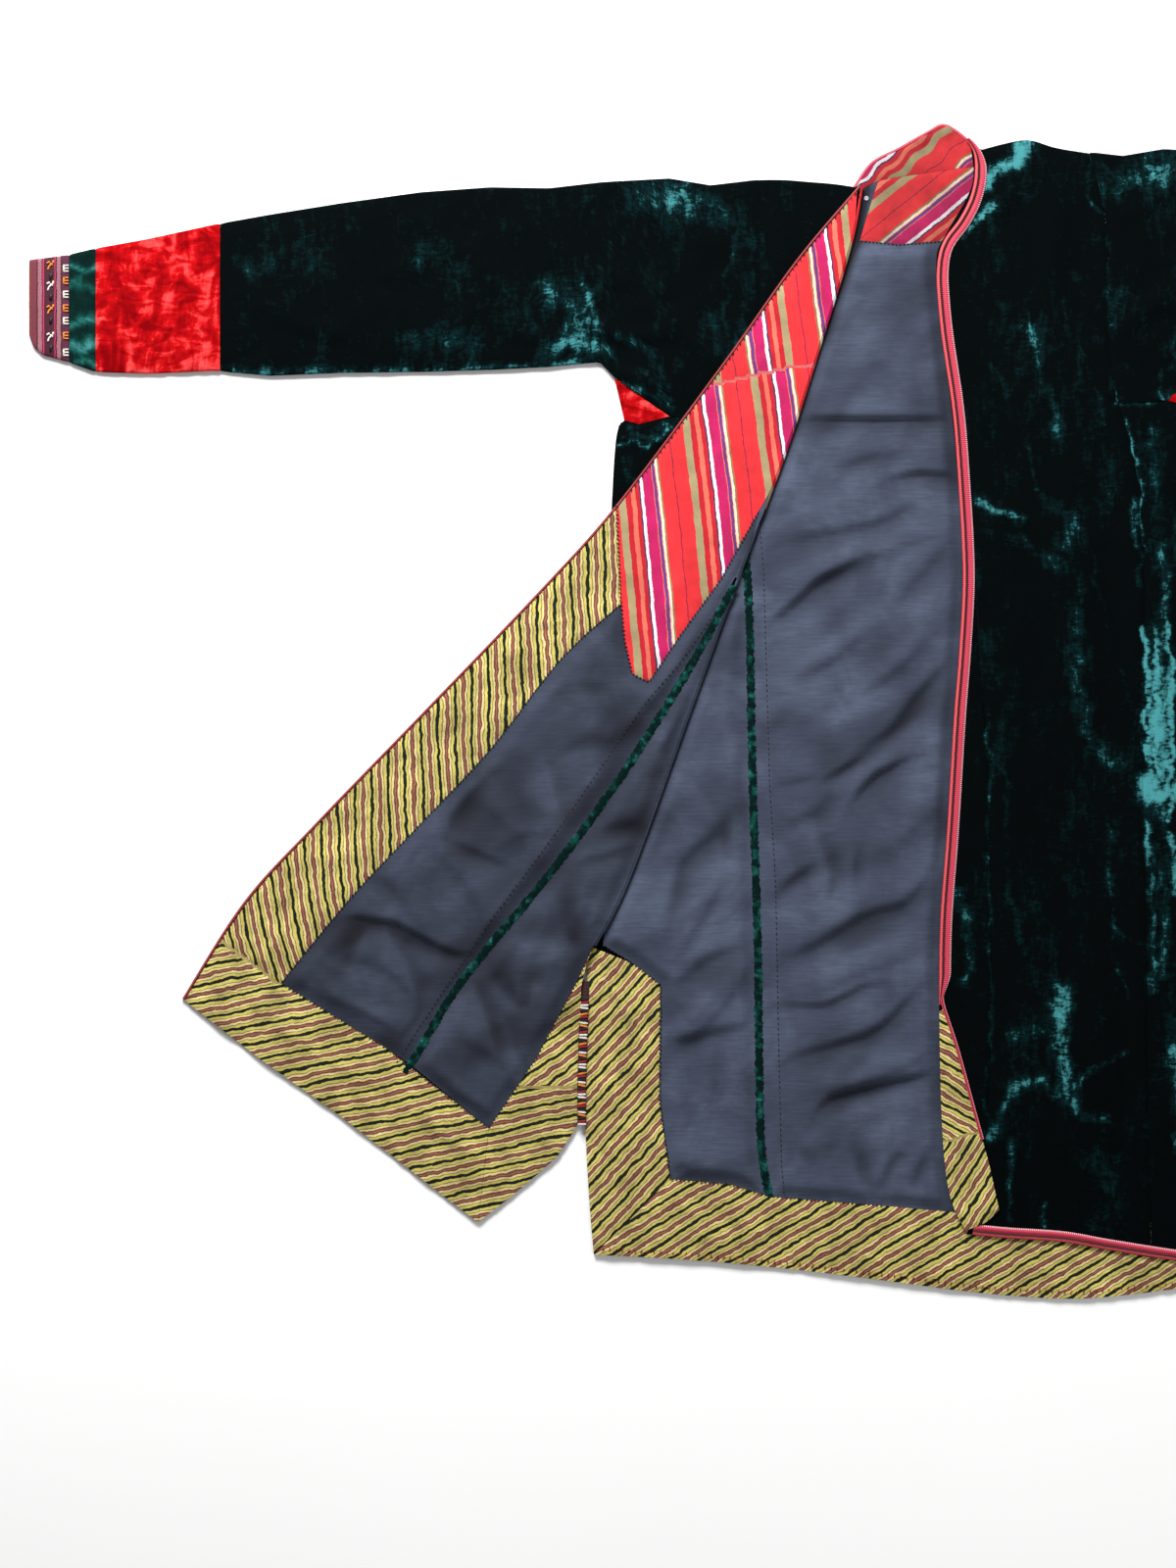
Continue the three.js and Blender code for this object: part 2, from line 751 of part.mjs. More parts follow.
// The roll of cloth along the fold, with a short tab into each layer.
function rollGrid() {
  const middle = (FRONT_MID + TURNED_MID) / 2;
  const radius = (TURNED_MID - FRONT_MID) / 2;
  const section = [{ reach: FOLD_GRID.tab, turn: -Math.PI / 2 }];
  for (let k = 0; k <= FOLD_GRID.rollSteps; k += 1) {
    section.push({ reach: 0, turn: Math.PI * (k / FOLD_GRID.rollSteps - 0.5) });
  }
  section.push({ reach: FOLD_GRID.tab, turn: Math.PI / 2 });
  return fold.map((station) =>
    section.map(({ reach, turn }) => {
      const out = reach - radius * Math.cos(turn);
      const x = station.x + foldOut.x * out;
      const y = station.y + foldOut.y * out;
      const n = new THREE.Vector3(-foldOut.x * Math.cos(turn), -foldOut.y * Math.cos(turn), Math.sin(turn));
      return { p: new THREE.Vector3(x, y, middle + radius * Math.sin(turn)), n };
    }),
  );
}

function buildRightFront() {
  const middle = (FRONT_MID + TURNED_MID) / 2;
  const grid = turnedGrid();
  const outline = [...turnedEdge, ...turnedHem.slice(1), ...turnedSlit.slice(1)];
  outline.push(...fold.slice(0, -1).reverse());
  const everywhere = prism(outline, ALL_LOW, ALL_HIGH);
  const seamOnFold = turnedSeam[0];
  const lowerSeam = [armholeR[1], point(-169, 216), seamOnFold];
  const lower = [...shoulderR, ...fold, ...aboveSlitR.slice().reverse(), ...gusset.slice(1, 3).reverse()];
  lower.push(armholeR[1]);
  const under = flatPiece(lower, FRONT_Z, FRONT_Z + VELVET, [gusset.slice(1), underarmR, armholeR]);
  const roll = sheet(rollGrid(), -VELVET / 2, VELVET / 2);
  const turned = sheet(grid, -VELVET / 2, VELVET / 2).intersect(everywhere);
  const shoulderWall = edgeStrip(shoulderR, -EDGE_WALL, LINING_Z, FRONT_MID);
  const sideWall = edgeStrip(aboveSlitR.slice(2), EDGE_WALL, LINING_Z, FRONT_MID);
  const whole = turned.add(roll).add(under).add(shoulderWall).add(sideWall);
  const overBody = turnedSeam.filter((p) => p.x > SEAM_SPLIT_X);
  const beyondBody = turnedSeam.filter((p) => p.x <= SEAM_SPLIT_X);
  const outward = [seamOnFold, seamOnFold.clone().addScaledVector(foldOut, -FOLD_GRID.tab)];
  const onTable = [overBody[overBody.length - 1], ...beyondBody];
  const cutter = (seam, reach, low, high) => prism(ribbon(lengthened(seam, reach), GAP), low, high);
  const cutters = [
    cutter(overBody, VELVET, middle, ALL_HIGH),
    cutter(onTable, SEAM_REACH, ALL_LOW, ALL_HIGH),
    cutter(lowerSeam, VELVET, ALL_LOW, middle),
    cutter(outward, VELVET, ALL_LOW, ALL_HIGH),
  ];
  const parts = cutters.reduce((left, one) => left.subtract(one), whole).decompose();
  parts.sort((a, b) => b.volume() - a.volume());
  add("front_r_panel", parts[0], "velvet");
  add("front_r_gore", parts[1], "velvet");
  buildTurnedFacings(sheet(grid, FACING_LOW, FACING_HIGH).intersect(everywhere));
}

function buildTurnedFacings(layer) {
  const cordInner = beside(turnedEdge, EDGE_CORD_WIDTH);
  const hemCorner = turnedHem[0];
  const slitCorner = turnedSlit[0];
  const innerCorner = hemFacingInner[0];
  const slitInnerCorner = slitFacingInner[0];
  const mitre = [hemCorner, innerCorner];
  const slitMitre = [slitInnerCorner, slitCorner];
  const seamFoot = turnedSeam[turnedSeam.length - 1 - CURVE_STEPS];
  const upperSeam = turnedSeam.slice(0, turnedSeam.length - CURVE_STEPS);
  const seamOnFold = upperSeam[0];
  const redTop = redEnd[redEnd.length - 1];
  const redStart = redEnd[0];
  const plainSeams = [redEnd, edgeFacingInner, hemFacingInner, slitFacingInner, mitre, slitMitre];
  const seamed = cutSeams(layer, [...plainSeams, cordInner]);
  const parted = cutSeams(seamed, [upperSeam], ALLOWANCE_WIDTH + 2 * GAP);
  const region = (solid, outline) => solid.intersect(prism(outline, ALL_LOW, ALL_HIGH));
  const cord = [...turnedEdge, ...cordInner.slice().reverse()];
  const redOuter = cordInner.filter((p) => p.y > redStart.y && p.x < crossAt(fold, p.y) - GAP);
  const redFold = fold.filter((p) => p.y > redTop.y && p.y < redOuter[0].y);
  const red = [...redOuter, ...redEnd, ...redFold.reverse()];
  const edgeOuter = cordInner.filter((p) => p.y < redStart.y - 2 * EDGE_CORD_WIDTH);
  const edge = [...edgeOuter, ...edgeFacingInner.slice().reverse(), ...redEnd.slice(0, 2).reverse()];
  const hemFacing = [...turnedHem, ...hemFacingInner.slice().reverse()];
  const slitFacing = [...turnedSlit, ...slitFacingInner.slice().reverse().slice(1)];
  const panel = [
    ...edgeFacingInner,
    hemFacingInner[1],
    seamFoot,
    ...upperSeam.slice().reverse(),
    ...fold.filter((p) => p.y < redTop.y && p.y > seamOnFold.y).reverse(),
    ...redEnd.slice(1).reverse(),
  ];
  const gore = [
    ...fold.filter((p) => p.y < seamOnFold.y),
    ...slitFacingInner.slice().reverse().slice(1),
    ...upperSeam.slice().reverse(),
  ];
  add("front_r_edge_cord", cutSeams(region(layer, cord), [cordInner]), "braid");
  add("front_r_neck_facing", region(seamed, red), "red_stripe");
  add("front_r_edge_facing", region(seamed, edge), "yellow_stripe");
  add("front_r_hem_facing", region(seamed, hemFacing), "yellow_stripe");
  add("front_r_slit_facing", region(seamed, slitFacing), "yellow_stripe");
  add("front_r_lining", region(parted, panel), "lining");
  add("front_r_gore_lining", region(parted, gore), "lining");
  add("front_r_seam_allowance", region(layer, ribbon(upperSeam, ALLOWANCE_WIDTH)), "velvet");
}

// ---- sleeves: a flattened tube, sewn shut along its lower edge ----

function sleeveAt(x, left) {
  const after = Math.max(SLEEVE.findIndex((row) => row.x >= x), 1);
  const a = SLEEVE[after - 1];
  const b = SLEEVE[after];
  const share = (x - a.x) / (b.x - a.x);
  const mix = (name) => a[name] + (b[name] - a[name]) * share;
  const further = fadeIn(-x, -SLEEVE_JOINS.armpit, -SLEEVE_JOINS.armpit + LEFT_LIFT.run);
  const bottomLift = THREE.MathUtils.lerp(LEFT_LIFT.bottom, LEFT_LIFT.top, further);
  return {
    x: left ? -x : x,
    top: mix("top") + (left ? LEFT_LIFT.top : 0),
    bottom: mix("bottom") + (left ? bottomLift : 0),
    loft: mix("loft"),
    curl: x < SLEEVE_JOINS.armpit ? 1 : 0,
  };
}

function sleeveSection({ x, top, bottom, loft, curl }) {
  const middle = (FRONT_MID + BACK_MID) / 2;
  const radius = (FRONT_MID - BACK_MID) / 2;
  const section = [];
  const place = (y, z, ny, nz) => {
    section.push({ p: new THREE.Vector3(x, y, z), n: new THREE.Vector3(0, ny, nz) });
  };
  const arc = (centre, angle) => {
    const ny = Math.cos(angle);
    const nz = Math.sin(angle);
    place(centre + radius * ny, middle + radius * nz, ny, nz);
  };
  const flatPart = (from, to, steps, z, nz, rise) => {
    for (let k = 1; k < steps; k += 1) {
      const share = k / steps;
      place(from + (to - from) * share, z + rise * Math.sin(Math.PI * share), 0, nz);
    }
  };
  const lowerEdge = (steps) => {
    for (const step of steps) {
      const angle = Math.PI - (Math.PI / 2 - SEAM_HALF_ANGLE) * step - SEAM_HALF_ANGLE;
      if (curl > 0) {
        arc(bottom + radius, angle);
      } else {
        place(bottom + radius * step, FRONT_MID, 0, 1);
      }
    }
  };
  lowerEdge([0, 1 / 3, 2 / 3, 1]);
  flatPart(bottom + radius, top - radius, SLEEVE_STEPS.front, FRONT_MID, 1, loft);
  for (let k = 0; k <= SLEEVE_STEPS.fold; k += 1) {
    arc(top - radius, Math.PI * (0.5 - k / SLEEVE_STEPS.fold));
  }
  flatPart(top - radius, bottom + radius, SLEEVE_STEPS.back, BACK_MID, -1, 0);
  for (const step of [1, 2 / 3, 1 / 3, 0]) {
    const angle = Math.PI + (Math.PI / 2 - SEAM_HALF_ANGLE) * step + SEAM_HALF_ANGLE;
    if (curl > 0) {
      arc(bottom + radius, angle);
    } else {
      place(bottom + radius * step, BACK_MID, 0, -1);
    }
  }
  return section;
}

function sleeveTube(from, to, left) {
  const stations = [from, ...SLEEVE.map((row) => row.x).filter((x) => x > from && x < to), to];
  return sheet(stations.map((x) => sleeveSection(sleeveAt(x, left))), -VELVET / 2, VELVET / 2);
}

function buildSleeve(left) {
  const mark = left ? "_l" : "_r";
  const half = GAP / 2;
  const joins = SLEEVE_JOINS;
  const armhole = left ? armholeL : armholeR;
  const folded = left ? gussetL : gusset;
  const underarm = left ? underarmL : underarmR;
  const reach = left ? -177 : -160;
  const body = [...armhole, point(0, armhole[armhole.length - 1].y), point(0, armhole[0].y)];
  const tube = sleeveTube(joins.band + half, reach, left).subtract(prism(body, ALL_LOW, ALL_HIGH));
  add("sleeve" + mark, cutSeams(tube, [armhole, underarm, folded.slice(0, 2)]), "velvet");
  add("sleeve_band" + mark, sleeveTube(joins.trim + half, joins.band - half, left), "red_velvet");
  add("sleeve_trim" + mark, sleeveTube(joins.cuff + half, joins.trim - half, left), "velvet");
  add("cuff" + mark, sleeveTube(joins.end, joins.cuff - half, left), "cuff");
  const foldLine = [folded[0], folded[3]];
  const inward = left ? EDGE_WALL : -EDGE_WALL;
  const layers = [prism(folded, 0, VELVET), prism(folded, FRONT_Z, FRONT_Z + VELVET)];
  layers.push(edgeStrip(foldLine, -inward, 0, FRONT_Z + VELVET));
  const joined = layers.reduce((all, one) => all.add(one));
  add("gusset" + mark, cutSeams(joined, [folded.slice(0, 2), folded.slice(1)]), "red_velvet");
}

buildBack();
buildBackLinings();
buildCollar();
buildLeftFront();
buildRightFront();
buildSleeve(false);
buildSleeve(true);

export default garment;
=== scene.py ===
"""A Central Asian velvet chapan, laid on its back with its right front turned open.

Lengths are in millimetres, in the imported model's frame: X to the wearer's left cuff, Y to the collar,
Z up from the table. Meshes are made in metres at the end.
"""
import math

import bpy
import numpy as np
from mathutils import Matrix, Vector
from mathutils.geometry import delaunay_2d_cdt


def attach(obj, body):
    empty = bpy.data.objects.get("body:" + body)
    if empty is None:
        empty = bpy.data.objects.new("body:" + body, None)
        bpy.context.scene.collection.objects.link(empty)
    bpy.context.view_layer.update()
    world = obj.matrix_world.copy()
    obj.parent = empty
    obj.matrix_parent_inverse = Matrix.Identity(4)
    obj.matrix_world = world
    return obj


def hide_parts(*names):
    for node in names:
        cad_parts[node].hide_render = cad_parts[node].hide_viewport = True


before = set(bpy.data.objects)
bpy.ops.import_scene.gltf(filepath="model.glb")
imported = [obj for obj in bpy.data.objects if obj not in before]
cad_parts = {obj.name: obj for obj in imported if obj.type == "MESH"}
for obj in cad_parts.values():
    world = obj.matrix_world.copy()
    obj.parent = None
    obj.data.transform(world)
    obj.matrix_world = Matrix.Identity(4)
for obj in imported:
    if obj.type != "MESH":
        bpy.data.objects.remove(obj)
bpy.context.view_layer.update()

MM = 0.001

# ---- camera and light ----

VIEW_CENTRE = (-335.0, -74.0)  # the view is cut off across the left front
VIEW_HEIGHT = 1600.0
CAMERA_HEIGHT = 5200.0
SENSOR = 36.0
KEY_HEIGHT = 1500.0


def make_camera():
    data = bpy.data.cameras.new("camera")
    data.sensor_fit = "VERTICAL"
    data.sensor_height = SENSOR
    data.lens = SENSOR * CAMERA_HEIGHT / VIEW_HEIGHT
    data.clip_end = 50.0
    camera = bpy.data.objects.new("camera", data)
    camera.location = (VIEW_CENTRE[0] * MM, VIEW_CENTRE[1] * MM, CAMERA_HEIGHT * MM)
    bpy.context.scene.collection.objects.link(camera)
    bpy.context.scene.camera = camera


def make_light(name, place, aim, size, power):
    data = bpy.data.lights.new(name, "AREA")
    data.shape = "RECTANGLE"
    data.size = size[0] * MM
    data.size_y = size[1] * MM
    data.energy = power
    light = bpy.data.objects.new(name, data)
    light.location = Vector(place) * MM
    light.rotation_euler = (Vector(aim) - Vector(place)).to_track_quat("-Z", "Y").to_euler()
    bpy.context.scene.collection.objects.link(light)


def make_studio():
    world = bpy.data.worlds.new("studio")
    world.use_nodes = True
    background = world.node_tree.nodes["Background"]
    background.inputs["Color"].default_value = (1.0, 0.99, 0.98, 1.0)
    background.inputs["Strength"].default_value = 0.30
    bpy.context.scene.world = world
    bpy.context.scene.view_settings.view_transform = "Standard"
    make_light("key", (-900.0, 2300.0, KEY_HEIGHT), (-200.0, -50.0, 0.0), (1500.0, 1000.0), 186.0)
    make_light("fill", (1900.0, -900.0, 1900.0), (0.0, 0.0, 0.0), (1800.0, 1800.0), 18.0)


# ---- layers of cloth ----

VELVET = 1.5
LINING = 1.0
GAP = 0.3
TURN_GAP = 1.5
LINING_Z = VELVET + GAP
FRONT_Z = LINING_Z + LINING + GAP
TURNED_Z = FRONT_Z + VELVET + TURN_GAP
DRAPE_RUN = 60.0
DRAPE_OVERLAP = 12.0
SLIT_LAP = 36.0
BRAID_WIDTH = 12.0
HEM_BRAID_WIDTH = 11.0
SLIT_BRAID_WIDTH = 8.0
EDGE_CORD_WIDTH = 3.0
ALLOWANCE_WIDTH = 6.0

# ---- outlines and seams: x, y ----

SIDE_R = [
    (-298, 296), (-307, 274), (-315, 126), (-327, -74), (-333, -239), (-338, -394), (-334, -494),
    (-329, -554),
]
HEM = [
    (-329, -554), (-235, -559), (-135, -568), (-35, -580), (65, -593), (165, -599), (264, -589),
    (329, -580),
]
SHOULDER_R = [(-160, 542), (-135, 542), (-110, 540), (-85, 538), (-65, 535)]
ARMHOLE_R = [(-160, 542), (-160, 296)]
ARMHOLE_L = [(177, 569), (195, 486), (196, 384), (206, 315.5)]
COLLAR_EDGE = [(-64, 535), (-46, 560), (-18, 575), (12, 592), (27, 599), (42, 592), (59, 577), (63, 568)]
FOLD = [(-57, 534), (-68, 477), (-97, 382), (-134, 267), (-186, 128), (-237, -13), (-296, -174), (-329, -238)]
TURNED_EDGE = [
    (-59, 536), (-123, 460), (-197, 356), (-306, 211), (-382, 126), (-497, 6), (-613, -114), (-686, -194),
    (-749, -293),
]
TURNED_HEM = [(-749, -293), (-670, -354), (-586, -414), (-534, -454), (-480, -496), (-447, -521)]
TURNED_SLIT = [
    (-447, -521), (-410, -492), (-366, -454), (-344, -419), (-343, -334), (-342, -279), (-336, -256),
    (-329, -238),
]
TURNED_SEAM = [(-186, 128), (-240, 30), (-306, -73), (-377, -169), (-463, -274), (-516, -360), (-561, -433)]
RED_END = [
    (-306, 211), (-302, 119), (-298, 73), (-290, 38), (-273, 30), (-240, 79), (-200, 134), (-161, 204),
]
EDGE_FACING_INNER = [(-302, 109), (-364, 52), (-434, -38), (-511, -120), (-578, -191), (-648, -277)]
HEM_FACING_INNER = [(-648, -277), (-540, -344), (-436, -425)]
SLIT_FACING_INNER = [(-436, -425), (-388, -354), (-347, -277), (-329, -238)]
LEFT_EDGE = [
    (55, 576), (57, 536), (28, 483), (20, 451), (35, 314), (43, 226), (47, 126), (38, -7),
    (31, -121), (24, -217), (23, -306), (26, -427), (34, -495), (51, -531),
]
BRAID_LINE = [
    (50, 582), (55, 576), (58.5, 567), (59.5, 554), (58, 537), (52.5, 519), (42.5, 500.5), (30, 484),
    (23, 468), (20.4, 446), (21.5, 421), (25, 386), (30, 352), (35, 319), (39, 282), (43, 226),
    (46, 176), (47, 126), (43, 56), (38, -7), (31, -121), (24, -217), (23, -306), (25, -334),
]
LEFT_HEM = [(51, -533), (91, -537), (149, -541), (195, -549), (265, -560), (331, -568)]
CORNER_EDGE = [
    (28, -303), (42, -346), (60, -412), (73, -458), (84, -508), (71, -521), (53, -528),
]
BACK_HEM_INNER = [(-251, -477), (-191, -482), (-147, -495), (-34, -504), (77, -514), (333, -526)]
BACK_SLIT_INNER = [(-320, -238), (-289, -257), (-261, -279), (-262, -397), (-251, -477)]
NECK_FACING = [(-39, 542), (-47, 517), (-58, 480), (-18, 476), (40, 481)]
BACK_LINING_SEAM = [(-174, 162), (-170, 82), (-167, -74), (-162, -238), (-159, -429), (-150, -495)]
GUSSET = [(-308, 340), (-252, 301), (-283, 293), (-298, 297)]
SLIT_TOP_Y = -239
LEFT_LIFT = (30.0, 17.0)  # the left sleeve lies further up the table: its fold, its lower edge
LEFT_LIFT_RUN = 260.0

# Sleeve from the cuff to the armhole: x, upper fold, lower edge, loft.
SLEEVE = [
    (-905, 460, 384, 0.5),
    (-901, 460.4, 373, 0.8),
    (-891, 461.5, 364, 1.0),
    (-865.5, 465, 357, 1.2),
    (-838, 471.5, 347, 1.6),
    (-785, 481, 345, 2.4),
    (-716, 496, 348, 2.0),
    (-660, 506, 343, 2.8),
    (-585, 518, 346, 2.2),
    (-505, 529, 347, 2.8),
    (-435, 534, 349, 2.4),
    (-375, 533, 352, 2.6),
    (-323, 539, 357, 1.8),
    (-308, 540, 341, 1.2),
    (-252, 543, 301, 0.4),
    (-210, 536, 298.7, 0.2),
    (-160, 542, 296, 0.0),
]
SLEEVE_END, CUFF_JOIN, TRIM_JOIN, BAND_JOIN = -905.0, -864, -837, -710
ARMPIT_X = -308

# ---- plane curves, in millimetres ----

STEP = 4.0  # spacing of the points of a fine piece
COARSE = 11.0  # and of one that shows from below only


def smooth(points, steps=9):
    """A soft curve through the points."""
    p = np.array(points, float)
    q = np.vstack([p[:1], p, p[-1:]])
    t = (np.arange(steps) / steps)[:, None]
    rows = []
    for a, b, c, d in zip(q, q[1:], q[2:], q[3:]):
        v0, v1 = (c - a) / 2, (d - b) / 2
        cubic, square = 2 * b - 2 * c + v0 + v1, 3 * c - 3 * b - 2 * v0 - v1
        rows.append(cubic * t**3 + square * t**2 + v0 * t + b)
    return np.vstack(rows + [p[-1:]])


def resample(line, step):
    """The same line with points about one step apart, its ends kept."""
    line = np.asarray(line, float)
    run = np.concatenate([[0], np.cumsum(np.hypot(*np.diff(line, axis=0).T))])
    count = max(int(round(run[-1] / step)), 1)
    at = np.linspace(0, run[-1], count + 1)
    return np.column_stack([np.interp(at, run, line[:, k]) for k in range(2)])


def beside(line, distance):
    """The line moved sideways, to the left of its direction."""
    along = np.gradient(np.asarray(line, float), axis=0)
    along /= np.hypot(*along.T)[:, None]
    return line + distance * np.column_stack([-along[:, 1], along[:, 0]])


def nearest(points, line):
    """For each point: its distance from the line, the share of the line it lies at, and its side."""
    line = np.asarray(line, float)
    run = np.concatenate([[0], np.cumsum(np.hypot(*np.diff(line, axis=0).T))])
    best = np.full(len(points), 1e9)
    share = np.zeros(len(points))
    side = np.ones(len(points))
    for k, (a, b) in enumerate(zip(line, line[1:])):
        ab = b - a
        length = math.hypot(*ab)
        if length == 0:
            continue
        t = np.clip((points - a) @ ab / length**2, 0, 1)
        off = points - a - t[:, None] * ab
        d = np.hypot(off[:, 0], off[:, 1])
        closer = d < best
        best[closer] = d[closer]
        share[closer] = (run[k] + t[closer] * length) / run[-1]
        side[closer] = np.sign(ab[0] * off[closer, 1] - ab[1] * off[closer, 0])
    return best, share, side


def inside(points, loop):
    """Which points lie within a loop."""
    hit = np.zeros(len(points), bool)
    x, y = points.T
    for a, b in zip(loop, np.roll(loop, -1, 0)):
        if a[1] != b[1]:
            crosses = (a[1] > y) != (b[1] > y)
            hit ^= crosses & (x < a[0] + (y - a[1]) * (b[0] - a[0]) / (b[1] - a[1]))
    return hit


def cross_at(line, y):
    """Where a line that runs down the garment passes each y."""
    return np.interp(-np.asarray(y, float), -line[:, 1], line[:, 0])


def fade(value, start, end):
    """From 0 at start to 1 at end, with soft ends."""
    t = np.clip((np.asarray(value, float) - start) / (end - start), 0, 1)
    return t * t * (3 - 2 * t)


def signed_area(loop):
    """Area within a loop, less than nothing where it runs clockwise."""
    x, y = np.asarray(loop, float).T
    return (np.dot(x, np.roll(y, -1)) - np.dot(y, np.roll(x, -1))) / 2


def area_of(loop):
    return abs(signed_area(loop))


def noise(points, size, seed, stretch=1.0, turn=0.0):
    """Smooth random heights from -1 to 1, in blobs of one size, drawn out along a direction."""
    cells = 97
    lattice = np.random.default_rng(seed).uniform(-1, 1, (cells, cells))
    c, s = math.cos(turn), math.sin(turn)
    p = np.column_stack([points[:, 0] * c + points[:, 1] * s, points[:, 1] * c - points[:, 0] * s])
    p = p / (size * stretch, size) + 1000.0
    i = np.floor(p).astype(int)
    f = p - i
    f = f**3 * (f * (f * 6 - 15) + 10)
    i, j = i % cells, (i + 1) % cells
    low = lattice[i[:, 0], i[:, 1]] * (1 - f[:, 0]) + lattice[j[:, 0], i[:, 1]] * f[:, 0]
    high = lattice[i[:, 0], j[:, 1]] * (1 - f[:, 0]) + lattice[j[:, 0], j[:, 1]] * f[:, 0]
    return low * (1 - f[:, 1]) + high * f[:, 1]


def outline(name):
    """The largest loop round the upward faces of a CAD node, seen from above."""
    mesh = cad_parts[name].data
    co = np.empty(len(mesh.vertices) * 3, np.float32)
    mesh.vertices.foreach_get("co", co)
    mesh.calc_loop_triangles()
    tri = np.empty(len(mesh.loop_triangles) * 3, np.int32)
    mesh.loop_triangles.foreach_get("vertices", tri)
    spots, index = np.unique(np.round(co.reshape(-1, 3) / MM, 2), axis=0, return_inverse=True)
    tri = index.reshape(-1)[tri].reshape(-1, 3)
    a, b, c = (spots[tri[:, k]] for k in range(3))
    up = np.cross(b - a, c - a)
    tri = tri[up[:, 2] > 0.35 * np.linalg.norm(up, axis=1)]
    edges = {(int(t[k]), int(t[k - 2])) for t in tri for k in range(3)}
    follow = {}
    for i, j in edges:
        if (j, i) not in edges:
            follow.setdefault(i, []).append(j)
    loops = []
    while follow:
        start = at = next(iter(follow))
        loop = []
        while at in follow:
            loop.append(at)
            ways = follow[at]
            step = ways.pop()
            if not ways:
                del follow[at]
            at = step
        if at == start and len(loop) > 2:
            loops.append(spots[loop, :2])
    return max(loops, key=area_of)


CORNER_TURN = math.radians(24)


def relaxed(loop, step):
    """A loop with points one step apart, straight runs rounded off and corners kept."""
    loop = np.asarray(loop, float)
    loop = loop[np.hypot(*(loop - np.roll(loop, 1, 0)).T) > 0.5]
    before, after = loop - np.roll(loop, 1, 0), np.roll(loop, -1, 0) - loop
    turn = np.abs(np.angle(np.exp(1j * (np.arctan2(*after.T[::-1]) - np.arctan2(*before.T[::-1])))))
    corners = np.flatnonzero(turn > CORNER_TURN)
    if len(corners) == 0:
        corners = np.array([0])
    loop = np.roll(loop, -corners[0], 0)
    marks = list(corners - corners[0]) + [len(loop)]
    loop = np.vstack([loop, loop[:1]])
    out = []
    for i, j in zip(marks, marks[1:]):
        line = resample(loop[i : j + 1], step)
        for _ in range(3):
            if len(line) > 4:
                line[1:-1] = (line[:-2] + 2 * line[1:-1] + line[2:]) / 4
        out.append(line[:-1])
    return np.vstack(out)


# ---- shells of cloth ----


def fill(loop, step, rings=(1.3, 3.0)):
    """Points and triangles that fill a loop: its own points, rings inside them, and a honeycomb."""
    low, high = loop.min(0), loop.max(0)
    rows = np.arange(low[1], high[1], step * 0.87)
    cells = []
    for k, y in enumerate(rows):
        x = np.arange(low[0] + (k % 2) * step / 2, high[0], step)
        cells.append(np.column_stack([x, np.full(len(x), y)]))
    body = np.vstack(cells)
    body = body[inside(body, loop)]
    closed = np.vstack([loop, loop[:1]])
    body = body[nearest(body, closed)[0] > rings[-1] + step * 0.45]
    points = [loop]
    turn = 1 if signed_area(loop) > 0 else -1
    for ring in rings:
        along = np.roll(loop, -1, 0) - np.roll(loop, 1, 0)
        along /= np.hypot(*along.T)[:, None] + 1e-9
        moved = loop + ring * turn * np.column_stack([-along[:, 1], along[:, 0]])
        moved = moved[inside(moved, loop)]
        points.append(moved[nearest(moved, closed)[0] > ring * 0.8])
    points.append(body)
    points = np.vstack(points)
    order = list(range(len(loop)))
    if turn < 0:
        order.reverse()
    result = delaunay_2d_cdt([Vector(p) for p in points], [], [order], 1, 1e-4)
    return np.array([(p.x, p.y) for p in result[0]]), np.array(result[2], int)


def shell(xy, tris, low, high):
    """A closed shell between two heights over a filled loop. It returns points and triangles."""
    a, b, c = (xy[tris[:, k]] for k in range(3))
    flip = np.cross(b - a, c - a) < 0
    tris = tris.copy()
    tris[flip] = tris[flip][:, ::-1]
    count = len(xy)
    edges = np.vstack([tris[:, [0, 1]], tris[:, [1, 2]], tris[:, [2, 0]]])
    codes = edges[:, 0] * count + edges[:, 1]
    backs = edges[:, 1] * count + edges[:, 0]
    rim = edges[~np.isin(codes, backs)]
    i, j = rim.T
    walls = np.vstack([np.column_stack([j, i, i + count]), np.column_stack([j, i + count, j + count])])
    points = np.vstack([np.column_stack([xy, high]), np.column_stack([xy, low])])
    return points, np.vstack([tris, tris[:, ::-1] + count, walls])


def band(grid, normals, low, high, closed=False):
    """A closed shell between two offsets from a grid of points (rows, columns, 3) with normals."""
    rows, columns = grid.shape[:2]
    low = np.broadcast_to(low, (rows, columns))[..., None]
    high = np.broadcast_to(high, (rows, columns))[..., None]
    points = np.concatenate([(grid + normals * side).reshape(-1, 3) for side in (high, low)])
    index = np.arange(rows * columns).reshape(rows, columns)
    if closed:
        index = np.column_stack([index, index[:, :1]])
    a, b, c, d = index[:-1, :-1], index[:-1, 1:], index[1:, 1:], index[1:, :-1]
    upper = np.concatenate([np.stack(corners, -1).reshape(-1, 3) for corners in ((a, b, c), (a, c, d))])
    layer = rows * columns
    faces = [upper, upper[:, ::-1] + layer]
    sides = [index[0][::-1], index[-1]]
    if not closed:
        sides += [index[:, 0], index[:, -1][::-1]]
    for side in sides:
        i, j = side[:-1], side[1:]
        faces.append(np.column_stack([i, j, j + layer]))
        faces.append(np.column_stack([i, j + layer, i + layer]))
    faces = np.vstack(faces)
    cell = grid[0, 0], grid[0, 1], grid[1, 0]
    if np.dot(np.cross(cell[1] - cell[0], cell[2] - cell[0]), normals[0, 0]) < 0:
        faces = faces[:, ::-1]
    return points, faces


SHARP_ANGLE = math.radians(50)


